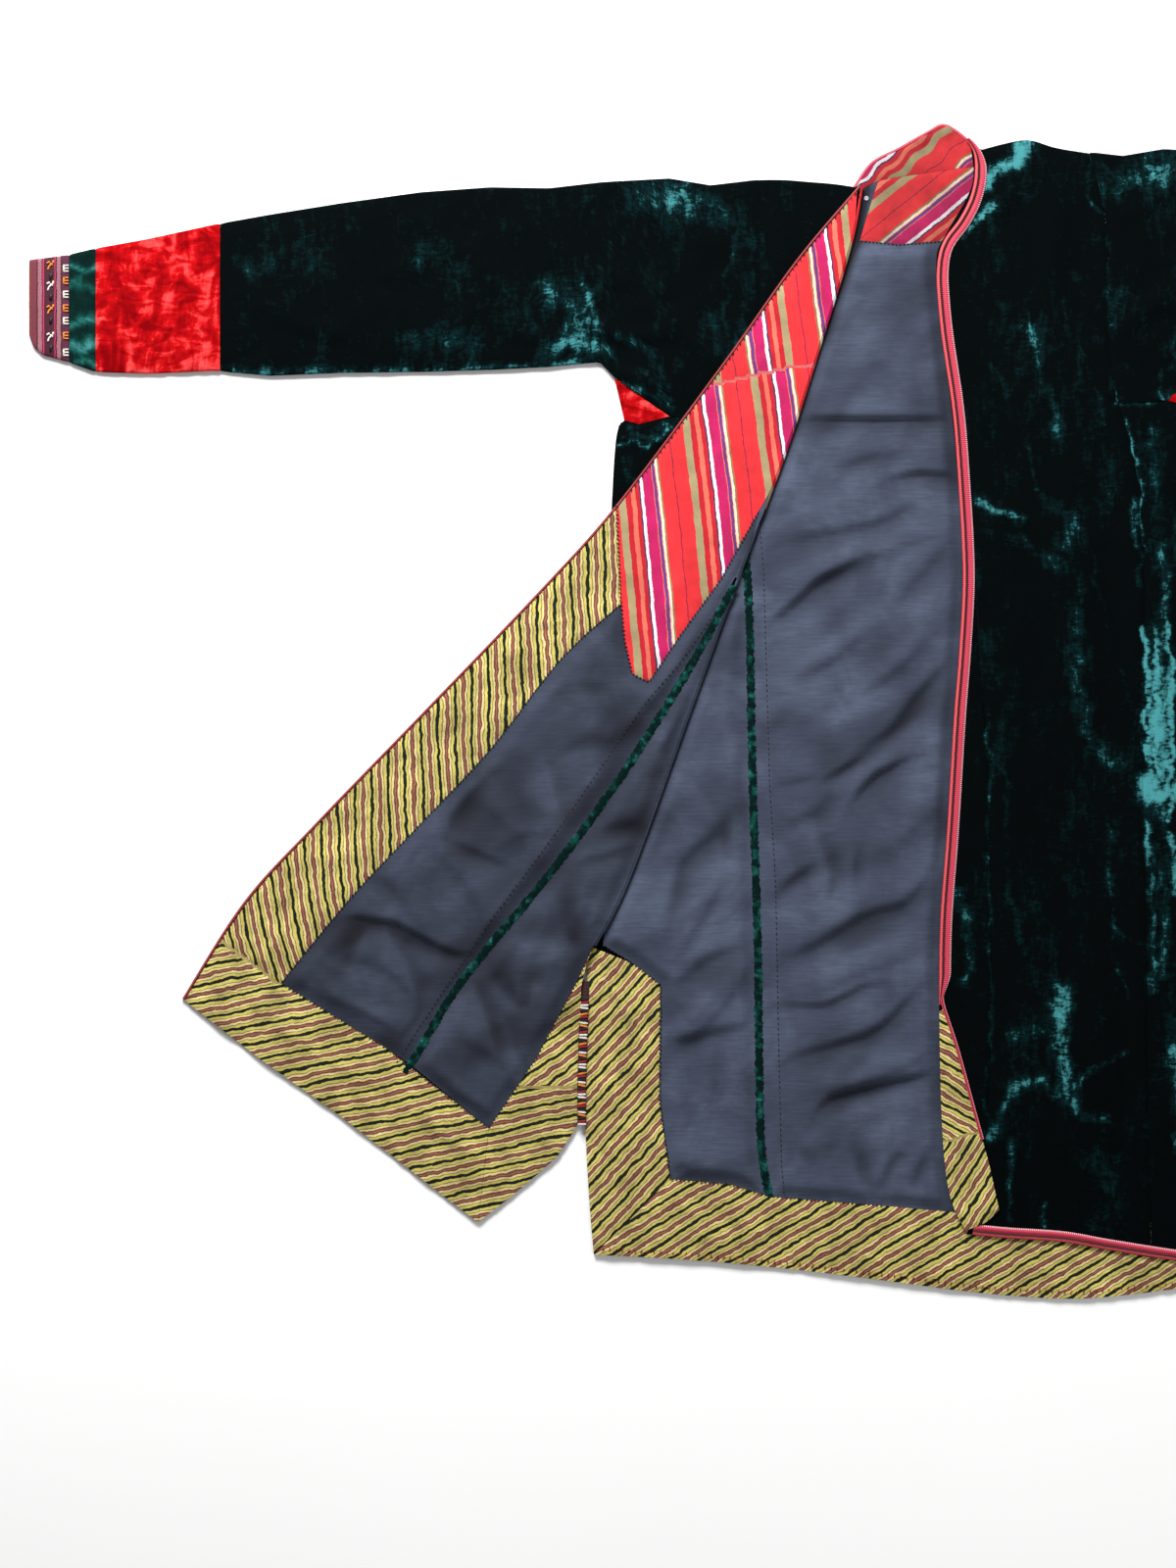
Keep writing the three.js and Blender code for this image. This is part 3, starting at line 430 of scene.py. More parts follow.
class Piece:
    """Meshes that are joined into one object, with stripes' coordinates and a value of painted light: painted
    sheen on velvet, painted shade on lining.
    """

    def __init__(self, name):
        self.name = name
        self.parts = []
        self.cloth = 0.0  # area in square millimetres

    def add(self, points, faces, weave=None, nap=None):
        flat = points[:, :2] if weave is None else weave
        self.parts.append((points, faces, flat, np.zeros(len(points)) if nap is None else nap))

    def build(self, material):
        total = 0
        points, faces, weave, nap = [], [], [], []
        for p, f, w, n in self.parts:
            points.append(p)
            faces.append(f + total)
            weave.append(w)
            nap.append(n)
            total += len(p)
        points, faces, weave, nap = (np.concatenate(x) for x in (points, faces, weave, nap))
        mesh = bpy.data.meshes.new(self.name)
        mesh.vertices.add(len(points))
        mesh.vertices.foreach_set("co", (points * MM).astype(np.float32).ravel())
        mesh.loops.add(len(faces) * 3)
        mesh.loops.foreach_set("vertex_index", faces.astype(np.int32).ravel())
        mesh.polygons.add(len(faces))
        mesh.polygons.foreach_set("loop_start", np.arange(0, len(faces) * 3, 3, dtype=np.int32))
        mesh.update(calc_edges=True)
        layer = mesh.uv_layers.new(name="weave")
        layer.data.foreach_set("uv", weave[faces.ravel()].astype(np.float32).ravel())
        painted_layer = mesh.attributes.new("nap", "FLOAT", "POINT")
        painted_layer.data.foreach_set("value", nap.astype(np.float32))
        mesh.polygons.foreach_set("use_smooth", np.ones(len(faces), bool))
        mesh.validate()
        mesh.set_sharp_from_angle(angle=SHARP_ANGLE)
        mesh.materials.append(material)
        thing = bpy.data.objects.new(self.name, mesh)
        bpy.context.scene.collection.objects.link(thing)
        return thing


# ---- materials ----


def operation(name):
    """A method that joins two values with a Math node."""
    return lambda self, other: self.shader.math(name, self, other)


class Value:
    """An output of a node, which sums, products and comparisons of values can use."""

    def __init__(self, shader, socket):
        self.shader = shader
        self.socket = socket

    __add__ = operation("ADD")
    __sub__ = operation("SUBTRACT")
    __mul__ = operation("MULTIPLY")
    __truediv__ = operation("DIVIDE")
    __mod__ = operation("FLOORED_MODULO")
    __gt__ = operation("GREATER_THAN")
    __lt__ = operation("LESS_THAN")


class Shader:
    """Short calls that place and join nodes of one material."""

    def __init__(self, name):
        self.material = bpy.data.materials.new(name)
        self.material.use_nodes = True
        self.tree = self.material.node_tree
        self.surface = self.tree.nodes["Principled BSDF"]

    def node(self, kind, inputs=None, **settings):
        made = self.tree.nodes.new("ShaderNode" + kind)
        for key, value in settings.items():
            setattr(made, key, value)
        for key, value in (inputs or {}).items():
            self.put(made, key, value)
        return made

    def value(self, kind, output=0, inputs=None, **settings):
        return Value(self, self.node(kind, inputs, **settings).outputs[output])

    def put(self, node, key, value):
        if isinstance(value, Value):
            self.tree.links.new(value.socket, node.inputs[key])
        else:
            node.inputs[key].default_value = value

    def math(self, operation, *values):
        return self.value("Math", 0, dict(enumerate(values)), operation=operation)

    def weave(self):
        split = self.node("SeparateXYZ", {0: self.value("UVMap", uv_map="weave")})
        return Value(self, split.outputs[0]), Value(self, split.outputs[1])

    # The painted light of the points: painted sheen on velvet, painted shade on lining.
    def nap(self):
        return self.value("Attribute", "Fac", attribute_name="nap")

    def place(self, x, y):
        return self.value("CombineXYZ", 0, {0: x, 1: y})

    def noise(self, size, spot=None, detail=2.0, rough=0.5, distort=0.0):
        """Noise over two coordinates in millimetres, or over the place in the scene."""
        scale = 1 / size
        if spot is None:
            vector = self.value("NewGeometry", "Position")
            scale /= MM
        else:
            vector = self.place(*spot)
        inputs = {"Vector": vector, "Scale": scale, "Detail": detail}
        inputs.update({"Roughness": rough, "Distortion": distort})
        return self.value("TexNoise", 0, inputs)

    def ramp(self, factor, stops, constant=False):
        made = self.node("ValToRGB", {0: factor})
        ramp = made.color_ramp
        ramp.interpolation = "CONSTANT" if constant else "LINEAR"
        while len(ramp.elements) < len(stops):
            ramp.elements.new(1.0)
        for element, (at, colour) in zip(ramp.elements, stops):
            element.position = at
            element.color = rgb(colour)
        return Value(self, made.outputs[0])

    def mix(self, factor, first, second, blend="MIX"):
        """Two colours mixed. The second is given in bytes."""
        made = {0: factor, 6: first, 7: rgb(second) if isinstance(second, tuple) else second}
        if isinstance(first, tuple):
            made[6] = rgb(first)
        return self.value("Mix", 2, made, data_type="RGBA", blend_type=blend)

    def span(self, value, low, high, to_low=0.0, to_high=1.0):
        """Low to high becomes 0 to 1, or two other values, with soft ends."""
        inputs = {0: value, 1: low, 2: high, 3: to_low, 4: to_high}
        return self.value("MapRange", 0, inputs, interpolation_type="SMOOTHSTEP")

    def bump(self, height, distance, strength=1.0):
        return self.value("Bump", 0, {"Height": height, "Distance": distance * MM, "Strength": strength})

    def finish(self, colour, roughness, normal, **more):
        for key, value in dict(Base_Color=colour, Roughness=roughness, Normal=normal, **more).items():
            self.put(self.surface, key.replace("_", " "), value)
        return self.material


def rgb(colour):
    """An sRGB colour in bytes as linear values."""
    if len(colour) == 4:
        return colour
    values = [c / 255 for c in colour]
    return tuple(c / 12.92 if c <= 0.04045 else ((c + 0.055) / 1.055) ** 2.4 for c in values) + (1.0,)


def velvet(name, dark, mid, lit, sheen, rough=0.66, start=0.12, size=1.0):
    """Pile cloth: nearly black, with its sheen painted into the colour, lighter and teal where its painted
    light is high.
    """
    s = Shader(name)
    x, y = s.weave()
    streaks = s.noise(8.0 * size, (x, y * 0.34), 4.0, 0.62, 0.9)
    crush = s.noise(5.0 * size, (x * 0.45, y), 3.0, 0.6, 1.2)
    blots = s.noise(30.0, (x, y * 0.6), 3.0, 0.55, 0.8)
    fine = s.noise(1.4, (x, y * 0.6), 2.0, 0.6)
    streaks_and_crush = streaks + crush
    # Painted sheen: the points' painted light, broken up by crushed streaks, blots and fine noise, picks the
    # dark, mid or lit colour.
    level = s.nap() * (streaks_and_crush * 0.9 + 0.1)
    for part, weight in ((streaks, rough), (crush, rough * 0.8), (blots, rough * 0.6), (fine, 0.12)):
        level = level + (part - 0.5) * weight
    colour = s.ramp(s.span(level, start, 1.02), [(0.0, dark), (0.4, mid), (1.0, lit)])
    normal = s.bump(streaks_and_crush * 0.6 + fine * 0.25, 1.0, 0.4)
    sheen_of_pile = dict(Sheen_Weight=0.02, Sheen_Roughness=0.35, Sheen_Tint=rgb(sheen))
    return s.finish(colour, 0.85, normal, Specular_IOR_Level=0.03, **sheen_of_pile)


def cotton(name, shade, base, lit):
    """Plain weave with slubs, faintly blotched by wear."""
    s = Shader(name)
    x, y = s.weave()
    across = s.noise(1.5, (x, y * 9.0), 2.0)
    slubs = s.noise(2.2, (x * 0.09, y), 3.0, 0.6)
    blots = s.noise(75.0, (x, y), 4.0, 0.6, 0.5)
    level = blots * 0.9 + slubs * 0.35 + across * 0.16 - 0.20
    colour = s.ramp(level, [(0.1, shade), (0.5, base), (0.95, lit)])
    # Painted shade: darker where the points' painted light is high, in tucks, soft bands and beside
    # overlapping parts.
    colour = s.mix(s.nap() * 0.46, colour, (14, 16, 25))
    wave = {"Scale": 0.30, "Distortion": 1.0}
    warp = s.value("TexWave", 1, {"Vector": s.place(x, y), **wave})
    weft = s.value("TexWave", 1, {"Vector": s.place(y, x), **wave})
    threads = s.math("MAXIMUM", warp, weft) * 0.35 + slubs
    return s.finish(colour, 0.86, s.bump(threads, 0.35, 0.5), Specular_IOR_Level=0.25)


def band_stops(bands, whole, shade=1.0):
    """Stops of a ramp from bands of (width, colour)."""
    stops, at = [], 0.0
    for width, colour in bands:
        stops.append((min(at / whole, 1.0), tuple(shade * c for c in colour)))
        at += width
    return stops


def striped(name, period, stripes, wander, painted_shade, shade=1.0):
    """Stripes of (width, colour) that repeat, with uneven edges, a weave and soft puckers, and painted shade
    where these lie low; a shade under 1 darkens them all.
    """
    s = Shader(name)
    x, y = s.weave()
    drift = s.noise(38.0, (x, y * 0.7), 2.0)
    edge = s.noise(1.7, (x, y * 0.5), 1.0)
    kinks = s.noise(11.0, (x, y), 1.0)
    u = x + (drift - 0.5) * wander + (kinks - 0.5) * (wander * 0.5) + (edge - 0.5) * 1.1
    colour = s.ramp(u % period / period, band_stops(stripes, period, shade), constant=True)
    threads = s.noise(0.9, (x * 2.0, y * 0.8), 2.0)
    blots = s.noise(30.0, (x, y), 4.0, 0.6)
    light = blots * 0.45 + threads * 0.38
    # Painted shade: darker where the puckers and threads lie low.
    colour = s.mix(s.span(light, 0.25, 0.6, painted_shade, 0.0), colour, (70, 40, 35), "MULTIPLY")
    return s.finish(colour, 0.8, s.bump(threads + blots, 0.5, 0.35), Specular_IOR_Level=0.25)


def braided(name, stops, period, tooth):
    """A woven edging: bands across it, ribs along it, and a picot edge where across is over 0.87."""
    s = Shader(name)
    across, along = s.weave()
    wobble = (s.noise(6.0, (along, across), 1.0) - 0.5) * 0.07
    colour = s.ramp(across + wobble, stops)
    ribs = s.math("ABSOLUTE", along % period / period - 0.5)
    # Painted shade in the grooves between the ribs.
    colour = s.mix(s.span(ribs, 0.1, 0.5, 0.25, 0.0), colour, (60, 0, 12), "MULTIPLY")
    picot = (across > 0.87) * (ribs > 0.26)
    colour = s.mix(picot * 0.85, colour, tooth)
    return s.finish(colour, 0.6, s.bump(ribs, 0.6, 0.6), Specular_IOR_Level=0.35)


def thread(name, colour, roughness=0.55):
    """Twisted yarn, with painted shade between its turns."""
    s = Shader(name)
    twist = s.noise(0.8)
    tone = s.mix(s.span(twist, 0.3, 0.7), tuple(int(c * 0.7) for c in colour), colour)
    return s.finish(tone, roughness, s.bump(twist, 0.2, 0.4), Specular_IOR_Level=0.4)


def cuff_cloth():
    """Woven cuff: bands along the sleeve, from its end inwards, two of them slanting cords."""
    s = Shader("cuff_weave")
    along, around = s.weave()
    wobble = (s.noise(9.0, (around, along), 1.0) - 0.5) * 1.4
    colour = s.ramp((along + wobble) / CUFF_LENGTH, band_stops(CUFF_BANDS, CUFF_LENGTH), constant=True)
    slant = (around + along * 1.2) % 3.4
    cords = (along > 9.0) * (along < 13.2) + (along > 28.5) * (along < 32.4)
    colour = s.mix(cords * (slant > 2.0) * 0.8, colour, (92, 20, 50))
    threads = s.noise(1.1, (along, around), 2.0)
    # Painted shade where the threads lie low.
    colour = s.mix(s.span(threads, 0.3, 0.65, 0.35, 0.0), colour, (50, 10, 30), "MULTIPLY")
    height = cords * 0.8 + threads * 0.5
    return s.finish(colour, 0.75, s.bump(height, 0.9, 0.6), Specular_IOR_Level=0.3)


KHAKI, RED, SALMON, CORAL = (166, 150, 110), (196, 26, 40), (226, 112, 92), (226, 46, 52)
NAVY, WHITE, MAGENTA, PURPLE = (58, 40, 90), (240, 232, 236), (190, 22, 92), (108, 54, 122)
CREAM, OLIVE, DARK_LINE = (236, 218, 192), (150, 118, 76), (130, 20, 60)
RED_STRIPES = [
    (7.5, KHAKI), (5.2, RED), (4.7, SALMON), (4.2, RED), (1.6, NAVY), (3.2, WHITE), (10.4, MAGENTA),
    (0.8, SALMON), (3.2, PURPLE), (0.8, SALMON), (2.6, CREAM), (1.5, OLIVE), (13.6, CORAL), (0.9, DARK_LINE),
    (14.0, CORAL),
]
RED_PERIOD = 74.5
YELLOW, PALE_YELLOW, BLACK_GREEN = (216, 204, 104), (230, 220, 150), (6, 18, 14)
ROSE, PALE_ROSE = (124, 64, 56), (168, 118, 84)
YELLOW_STRIPES = [
    (3.1, BLACK_GREEN), (2.1, YELLOW), (0.9, OLIVE), (1.9, PALE_YELLOW), (1.6, ROSE), (0.8, PALE_ROSE),
    (1.7, ROSE), (1.9, PALE_YELLOW), (0.9, OLIVE), (2.6, YELLOW),
]
YELLOW_PERIOD = 17.5
CUFF_LENGTH = 41.0
MAROON, PALE_CORD, CUFF_DARK = (104, 40, 52), (160, 108, 116), (38, 4, 18)
CUFF_BANDS = [
    (1.6, (112, 60, 50)), (6.4, MAROON), (1.0, CUFF_DARK), (4.2, PALE_CORD), (1.0, CUFF_DARK),
    (1.2, (176, 40, 84)), (10.6, (62, 8, 30)), (1.0, (176, 40, 84)), (1.5, CUFF_DARK), (4.0, PALE_CORD),
    (1.0, CUFF_DARK), (7.5, (74, 22, 48)),
]
BRAID_STOPS = [
    (0.0, (150, 20, 36)), (0.05, (196, 44, 56)), (0.10, (212, 84, 88)), (0.21, (206, 66, 76)),
    (0.26, (60, 0, 10)), (0.44, (52, 0, 8)), (0.49, (184, 34, 62)), (0.84, (200, 60, 84)),
    (0.88, (150, 30, 50)), (1.0, (180, 70, 88)),
]
CORD_STOPS = [(0.0, (92, 20, 26)), (0.4, (150, 50, 52)), (0.7, (140, 60, 50)), (1.0, (120, 60, 46))]
KNOT_STOPS = [(0.0, (30, 20, 18)), (0.5, (60, 14, 20)), (1.0, (24, 20, 16))]
PIPING_STOPS = [(0.0, (150, 30, 50)), (0.5, (214, 84, 100)), (1.0, (120, 30, 50))]


def make_materials():
    # Each velvet's colours run dark, mid and lit; the lit colour is its painted sheen.
    greens = (1, 4, 5), (4, 30, 32), (62, 132, 136)
    trims = (4, 24, 22), (16, 66, 60), (52, 112, 112)
    reds = (112, 0, 4), (164, 7, 12), (228, 74, 74)
    return {
        "velvet": velvet("velvet_green", *greens, (90, 160, 150)),
        "trim": velvet("velvet_trim", *trims, (80, 150, 140), 0.35, 0.02),
        "red_velvet": velvet("velvet_red", *reds, (250, 120, 110), 2.2, -0.46, 2.6),
        "lining": cotton("lining_cotton", (34, 37, 50), (59, 66, 84), (90, 100, 121)),
        "red_stripe": striped("red_stripe_cotton", RED_PERIOD, RED_STRIPES, 4.0, 0.45),
        # A darker copy of the red stripes: painted shade for the neck and collar.
        "shaded_red_stripe": striped("neck_stripe_cotton", RED_PERIOD, RED_STRIPES, 3.0, 0.6, 0.82),
        "yellow_stripe": striped("yellow_stripe_cotton", YELLOW_PERIOD, YELLOW_STRIPES, 8.0, 0.7),
        "braid": braided("edge_braid", BRAID_STOPS, 1.9, (228, 188, 192)),
        "cord": braided("edge_cord", CORD_STOPS, 2.4, (150, 70, 76)),
        "knot_ground": braided("knot_ground", KNOT_STOPS, 3.3, (60, 20, 24)),
        "piping": braided("pink_piping", PIPING_STOPS, 2.4, (120, 90, 90)),
        "cuff": cuff_cloth(),
        "dark_thread": thread("dark_thread", (24, 14, 18)),
        "white_thread": thread("white_thread", (232, 226, 214)),
        "orange_thread": thread("orange_thread", (226, 130, 44)),
        "red_thread": thread("red_thread", (150, 22, 34)),
        "snap": thread("snap_metal", (170, 172, 178), 0.3),
    }


# ---- shared curves ----

side_r = smooth(SIDE_R)
fold_line = smooth(FOLD)
turned_edge = smooth(TURNED_EDGE)
turned_seam = smooth(TURNED_SEAM)
left_edge = smooth(LEFT_EDGE)
left_hem = smooth(LEFT_HEM)
collar_edge = smooth(COLLAR_EDGE)
armhole_l = smooth(ARMHOLE_L)
armhole_r = np.array(ARMHOLE_R, float)
gusset_l = np.array([(-x, y + LEFT_LIFT[1]) for x, y in GUSSET])
side_l = np.vstack([gusset_l[3:], [(-x, y) for x, y in side_r if y < gusset_l[3][1] - LEFT_LIFT[0]]])
shoulder_r = smooth(SHOULDER_R)
back_lining_seam = smooth(BACK_LINING_SEAM)

# Long soft folds: x, lean, y0, y1, width, height. They are the folds of the solids.
RIDGES = [
    (155, 18, 226, -94, 26, 2.4),
    (247, 4, 226, -454, 30, 3.2),
    (100, -6, 166, -504, 22, 1.8),
    (183, -10, -174, -524, 28, 2.6),
    (290, 6, 106, -534, 26, 2.2),
]
TURNED_RIDGES = [
    (-415, -260, -34, -404, 34, 3),
    (-535, -200, -104, -364, 30, 2.2),
    (-375, -60, -234, -464, 26, 2.6),
]

# Creases: points along each, half width, height (less than nothing for a trough).
LINING_CREASES = [
    ([(-85, 418), (-55, 378), (-45, 318)], 14, 1.0),
    ([(-30, 456), (-10, 388), (-5, 308)], 12, 0.9),
    ([(-135, 128), (-90, 143), (-35, 166), (20, 188)], 16, 1.6),
    ([(-135, 36), (-93, 54), (-55, 86)], 13, 1.8),
    ([(-63, 18), (-23, 46), (15, 86)], 12, 1.8),
    ([(-55, -154), (-15, -124), (33, -74)], 16, 1.8),
    ([(-129, -292), (-65, -264), (15, -234)], 14, 1.4),
    ([(-115, -384), (-55, -374), (15, -344)], 12, 1.8),
    ([(-255, -262), (-221, -204), (-195, -167)], 12, 2.2),
    ([(-261, -350), (-215, -310), (-166, -250)], 14, 2.4),
]
# Tucks of the lining: points along each, half width of its steep left side, of its right side, depth.
LINING_TUCKS = [
    ([(-127, 297), (-47, 297), (43, 297)], 3, 20, 3.2),
    ([(-90, 244), (-60, 251), (-29, 261)], 6, 12, 1.3),
    ([(-31, 233), (3, 241), (45, 238)], 3.5, 16, 2.6),
    ([(-135, 170), (-91, 177), (-60, 183), (-32, 190), (5, 213)], 7, 18, 2.4),
    ([(-149, 86), (-119, 111), (-96, 132), (-73, 144), (-49, 156)], 5, 16, 3.6),
    ([(-21, 100), (3, 129), (26, 155), (45, 178)], 9, 16, 2.4),
    ([(-59, -46), (-22, -21), (1, 9), (35, 48)], 7, 14, 3.6),
    ([(-99, -75), (-75, -61), (-45, -42)], 3.5, 10, 2.0),
    ([(-67, -98), (-45, -71), (-30, -61), (-3, -48)], 4, 14, 3.2),
    ([(-135, -123), (-98, -105), (-79, -82)], 8, 12, 2.0),
    ([(-89, -200), (-82, -174), (-87, -151), (-99, -124)], 6, 11, 2.8),
    ([(-59, -182), (-61, -160), (-58, -140)], 3, 9, 1.8),
    ([(-143, -191), (-125, -174), (-99, -156)], 5, 12, 2.2),
    ([(-133, -256), (-102, -243), (-79, -228), (-49, -212), (-7, -197), (19, -164)], 7, 18, 3.6),
    ([(-145, -301), (-98, -302), (-75, -293), (-49, -281), (-19, -280)], 3.5, 12, 2.0),
    ([(-129, -356), (-87, -343), (-49, -331), (-22, -312), (5, -282)], 5, 16, 3.2),
    ([(-105, -416), (-87, -396), (-60, -387), (-22, -379), (20, -370)], 4, 16, 3.8),
    ([(-42, -500), (-55, -469), (-65, -438)], 5, 10, 2.4),
    ([(-39, -496), (-29, -474), (-12, -446)], 6, 9, 2.2),
    ([(-5, -490), (15, -446)], 5, 9, 1.8),
    ([(-99, -480), (-120, -446)], 5, 9, 1.5),
    ([(-140, -75), (-120, -72), (-97, -67)], 2.5, 8, 1.0),
    ([(1, -63), (15, -59), (35, -56)], 2.5, 8, 1.0),
    ([(-251, -244), (-242, -189), (-232, -155), (-201, -127), (-187, -104)], 8, 12, 3.0),
    ([(-249, -288), (-211, -258), (-165, -243)], 9, 16, 3.2),
    ([(-258, -342), (-221, -334), (-165, -322)], 6, 14, 2.4),
    ([(-193, -159), (-197, -119)], 4, 8, 1.4),
    ([(-232, -434), (-239, -360)], 6, 12, 1.4),
    ([(-208, -434), (-201, -338)], 6, 12, 1.4),
    ([(-285, -176), (-267, -144), (-251, -100)], 8, 12, 2.2),
    ([(-217, -22), (-208, 17), (-200, 71)], 8, 12, 1.6),
    ([(-183, -34), (-187, 26), (-179, 86)], 6, 10, 1.2),
]
TURNED_TUCKS = [
    ([(-590, -209), (-562, -214), (-531, -220), (-497, -238), (-466, -250), (-447, -244)], 4, 14, 3.6),
    ([(-583, -266), (-573, -236), (-563, -218)], 12, 6, 2.2),
    ([(-435, -264), (-404, -298), (-395, -278), (-375, -274)], 12, 7, 2.8),
    ([(-427, -214), (-385, -224), (-331, -234)], 18, 14, 2.0),
    ([(-483, -132), (-452, -145), (-415, -162)], 4, 12, 1.6),
    ([(-479, -138), (-462, -100), (-435, -68)], 6, 14, 2.4),
    ([(-358, -112), (-366, -79), (-378, -42)], 4, 12, 1.5),
    ([(-323, -124), (-295, -120), (-269, -116)], 8, 14, 2.6),
    ([(-352, -158), (-320, -150), (-285, -138)], 4, 9, 1.4),
    ([(-561, -163), (-545, -176), (-527, -191)], 7, 12, 1.8),
    ([(-531, -340), (-507, -310), (-511, -272), (-533, -231)], 3.5, 12, 2.0),
    ([(-420, -366), (-435, -313), (-453, -269)], 4, 12, 2.0),
    ([(-341, -248), (-352, -224), (-360, -186)], 8, 12, 2.4),
    ([(-329, -219), (-317, -216), (-303, -208)], 3, 9, 1.6),
    ([(-375, -414), (-399, -364), (-419, -304)], 5, 12, 1.2),
    ([(-605, -294), (-575, -304), (-525, -336)], 5, 12, 1.5),
    ([(-379, 6), (-345, 26), (-307, 20)], 6, 12, 1.6),
    ([(-325, -64), (-299, -26), (-245, 14)], 8, 12, 1.4),
]
TURNED_CREASES = [
    ([(-295, 14), (-335, 26), (-379, 14)], 12, 2.2),
    ([(-369, -44), (-339, -24), (-303, -26)], 10, 1.8),
    ([(-465, -74), (-415, -112), (-375, -160)], 14, 2.6),
    ([(-499, -130), (-455, -174), (-427, -234)], 13, 2.4),
    ([(-535, -174), (-497, -224), (-483, -284)], 12, 2.2),
    ([(-595, -240), (-539, -259), (-495, -308)], 12, 2.6),
    ([(-619, -259), (-585, -296), (-533, -320)], 9, 1.8),
    ([(-369, -179), (-387, -234), (-430, -290)], 11, 2.4),
    ([(-329, -140), (-343, -200), (-373, -264)], 9, 2.0),
    ([(-465, -330), (-425, -352), (-401, -396)], 12, 2.8),
    ([(-495, -364), (-465, -390), (-431, -404)], 9, 2.0),
    ([(-387, -324), (-363, -308), (-348, -280)], 8, 1.8),
    ([(-287, -54), (-255, -24), (-230, 36)], 10, 1.6),
    ([(-435, -144), (-405, -124), (-363, -120)], 9, 1.6),
    ([(-235, 166), (-245, 126), (-267, 86)], 9, 1.2),
    ([(-275, 206), (-263, 156), (-275, 106)], 10, 1.2),
    ([(-190, 296), (-205, 256), (-235, 226)], 9, 1.2),
    ([(-135, 396), (-145, 366), (-175, 354)], 8, 1.0),
    ([(-211, 330), (-163, 341), (-105, 351)], 2.6, -1.0),
    ([(-695, -274), (-635, -334), (-545, -384)], 9, 1.6),
    ([(-515, -404), (-465, -444), (-415, -464)], 10, 2.0),
    ([(-395, -354), (-375, -404), (-385, -454)], 8, 2.0),
    ([(-375, -334), (-360, -374), (-363, -424)], 7, 1.6),
    ([(-535, -64), (-555, -124), (-605, -164)], 8, 1.2),
    ([(-375, 106), (-405, 66), (-445, 36)], 8, 1.2),
    ([(-635, -174), (-645, -224), (-685, -264)], 8, 1.0),
]
LEFT_CREASES = [
    ([(85, 576), (95, 536), (75, 501)], 14, 1.6),
    ([(125, 566), (140, 486), (133, 396)], 16, 1.4),
    ([(215, 556), (225, 466), (215, 376)], 15, 1.5),
    ([(65, 396), (85, 326), (75, 256)], 12, -1.0),
    ([(105, 366), (140, 306), (175, 226)], 14, 1.2),
    ([(65, 221), (87, 206), (115, 190)], 7, 1.3),
    ([(135, 226), (150, 166), (149, 136)], 12, 1.8),
    ([(165, 86), (181, -24), (213, -58)], 10, 1.6),
    ([(95, 86), (115, 6), (109, -74)], 12, -1.2),
    ([(205, 296), (195, 166), (215, 26)], 10, -1.4),
    ([(230, 206), (237, 26), (233, -234)], 7, -1.3),
    ([(273, 186), (267, -34), (275, -274)], 8, -1.0),
    ([(89, -329), (125, -314), (171, -349), (191, -414)], 11, 1.7),
    ([(115, -364), (145, -374), (157, -414)], 10, -1.2),
    ([(93, -434), (101, -484), (95, -524)], 7, 1.2),
    ([(137, -154), (129, -234), (145, -314)], 10, 1.1),
    ([(195, -254), (215, -354), (205, -474)], 12, -1.2),
]
LOWER_CREASES = [
    ([(-303, 280), (-275, 274), (-245, 280)], 5, 2.2),
    ([(-295, 256), (-285, 226), (-301, 206)], 7, 1.2),
    ([(-235, 326), (-205, 356), (-165, 376)], 9, 1.0),
    ([(-145, 526), (-135, 476), (-155, 426)], 12, 1.0),
]
SLEEVE_CREASES = [
    ([(-375, 426), (-335, 396), (-295, 381), (-235, 386)], 9, 2.6),
    ([(-415, 386), (-365, 376), (-313, 364)], 8, 2.4),
    ([(-335, 356), (-295, 341), (-245, 326)], 7, 2.2),
    ([(-295, 426), (-255, 396), (-195, 346)], 11, 2.0),
    ([(-345, 456), (-295, 436), (-235, 426)], 12, 1.6),
    ([(-315, 326), (-285, 328), (-263, 311)], 6, 1.8),
    ([(-495, 496), (-445, 456), (-405, 396)], 14, 1.4),
    ([(-605, 476), (-555, 436), (-475, 416)], 13, -1.2),
    ([(-695, 426), (-635, 396), (-555, 376)], 12, 1.3),
    ([(-685, 466), (-635, 476), (-585, 464)], 10, -1.0),
    ([(-295, 526), (-245, 496), (-193, 466)], 14, 1.5),
    ([(-193, 536), (-190, 466), (-193, 386)], 5, -1.3),
]
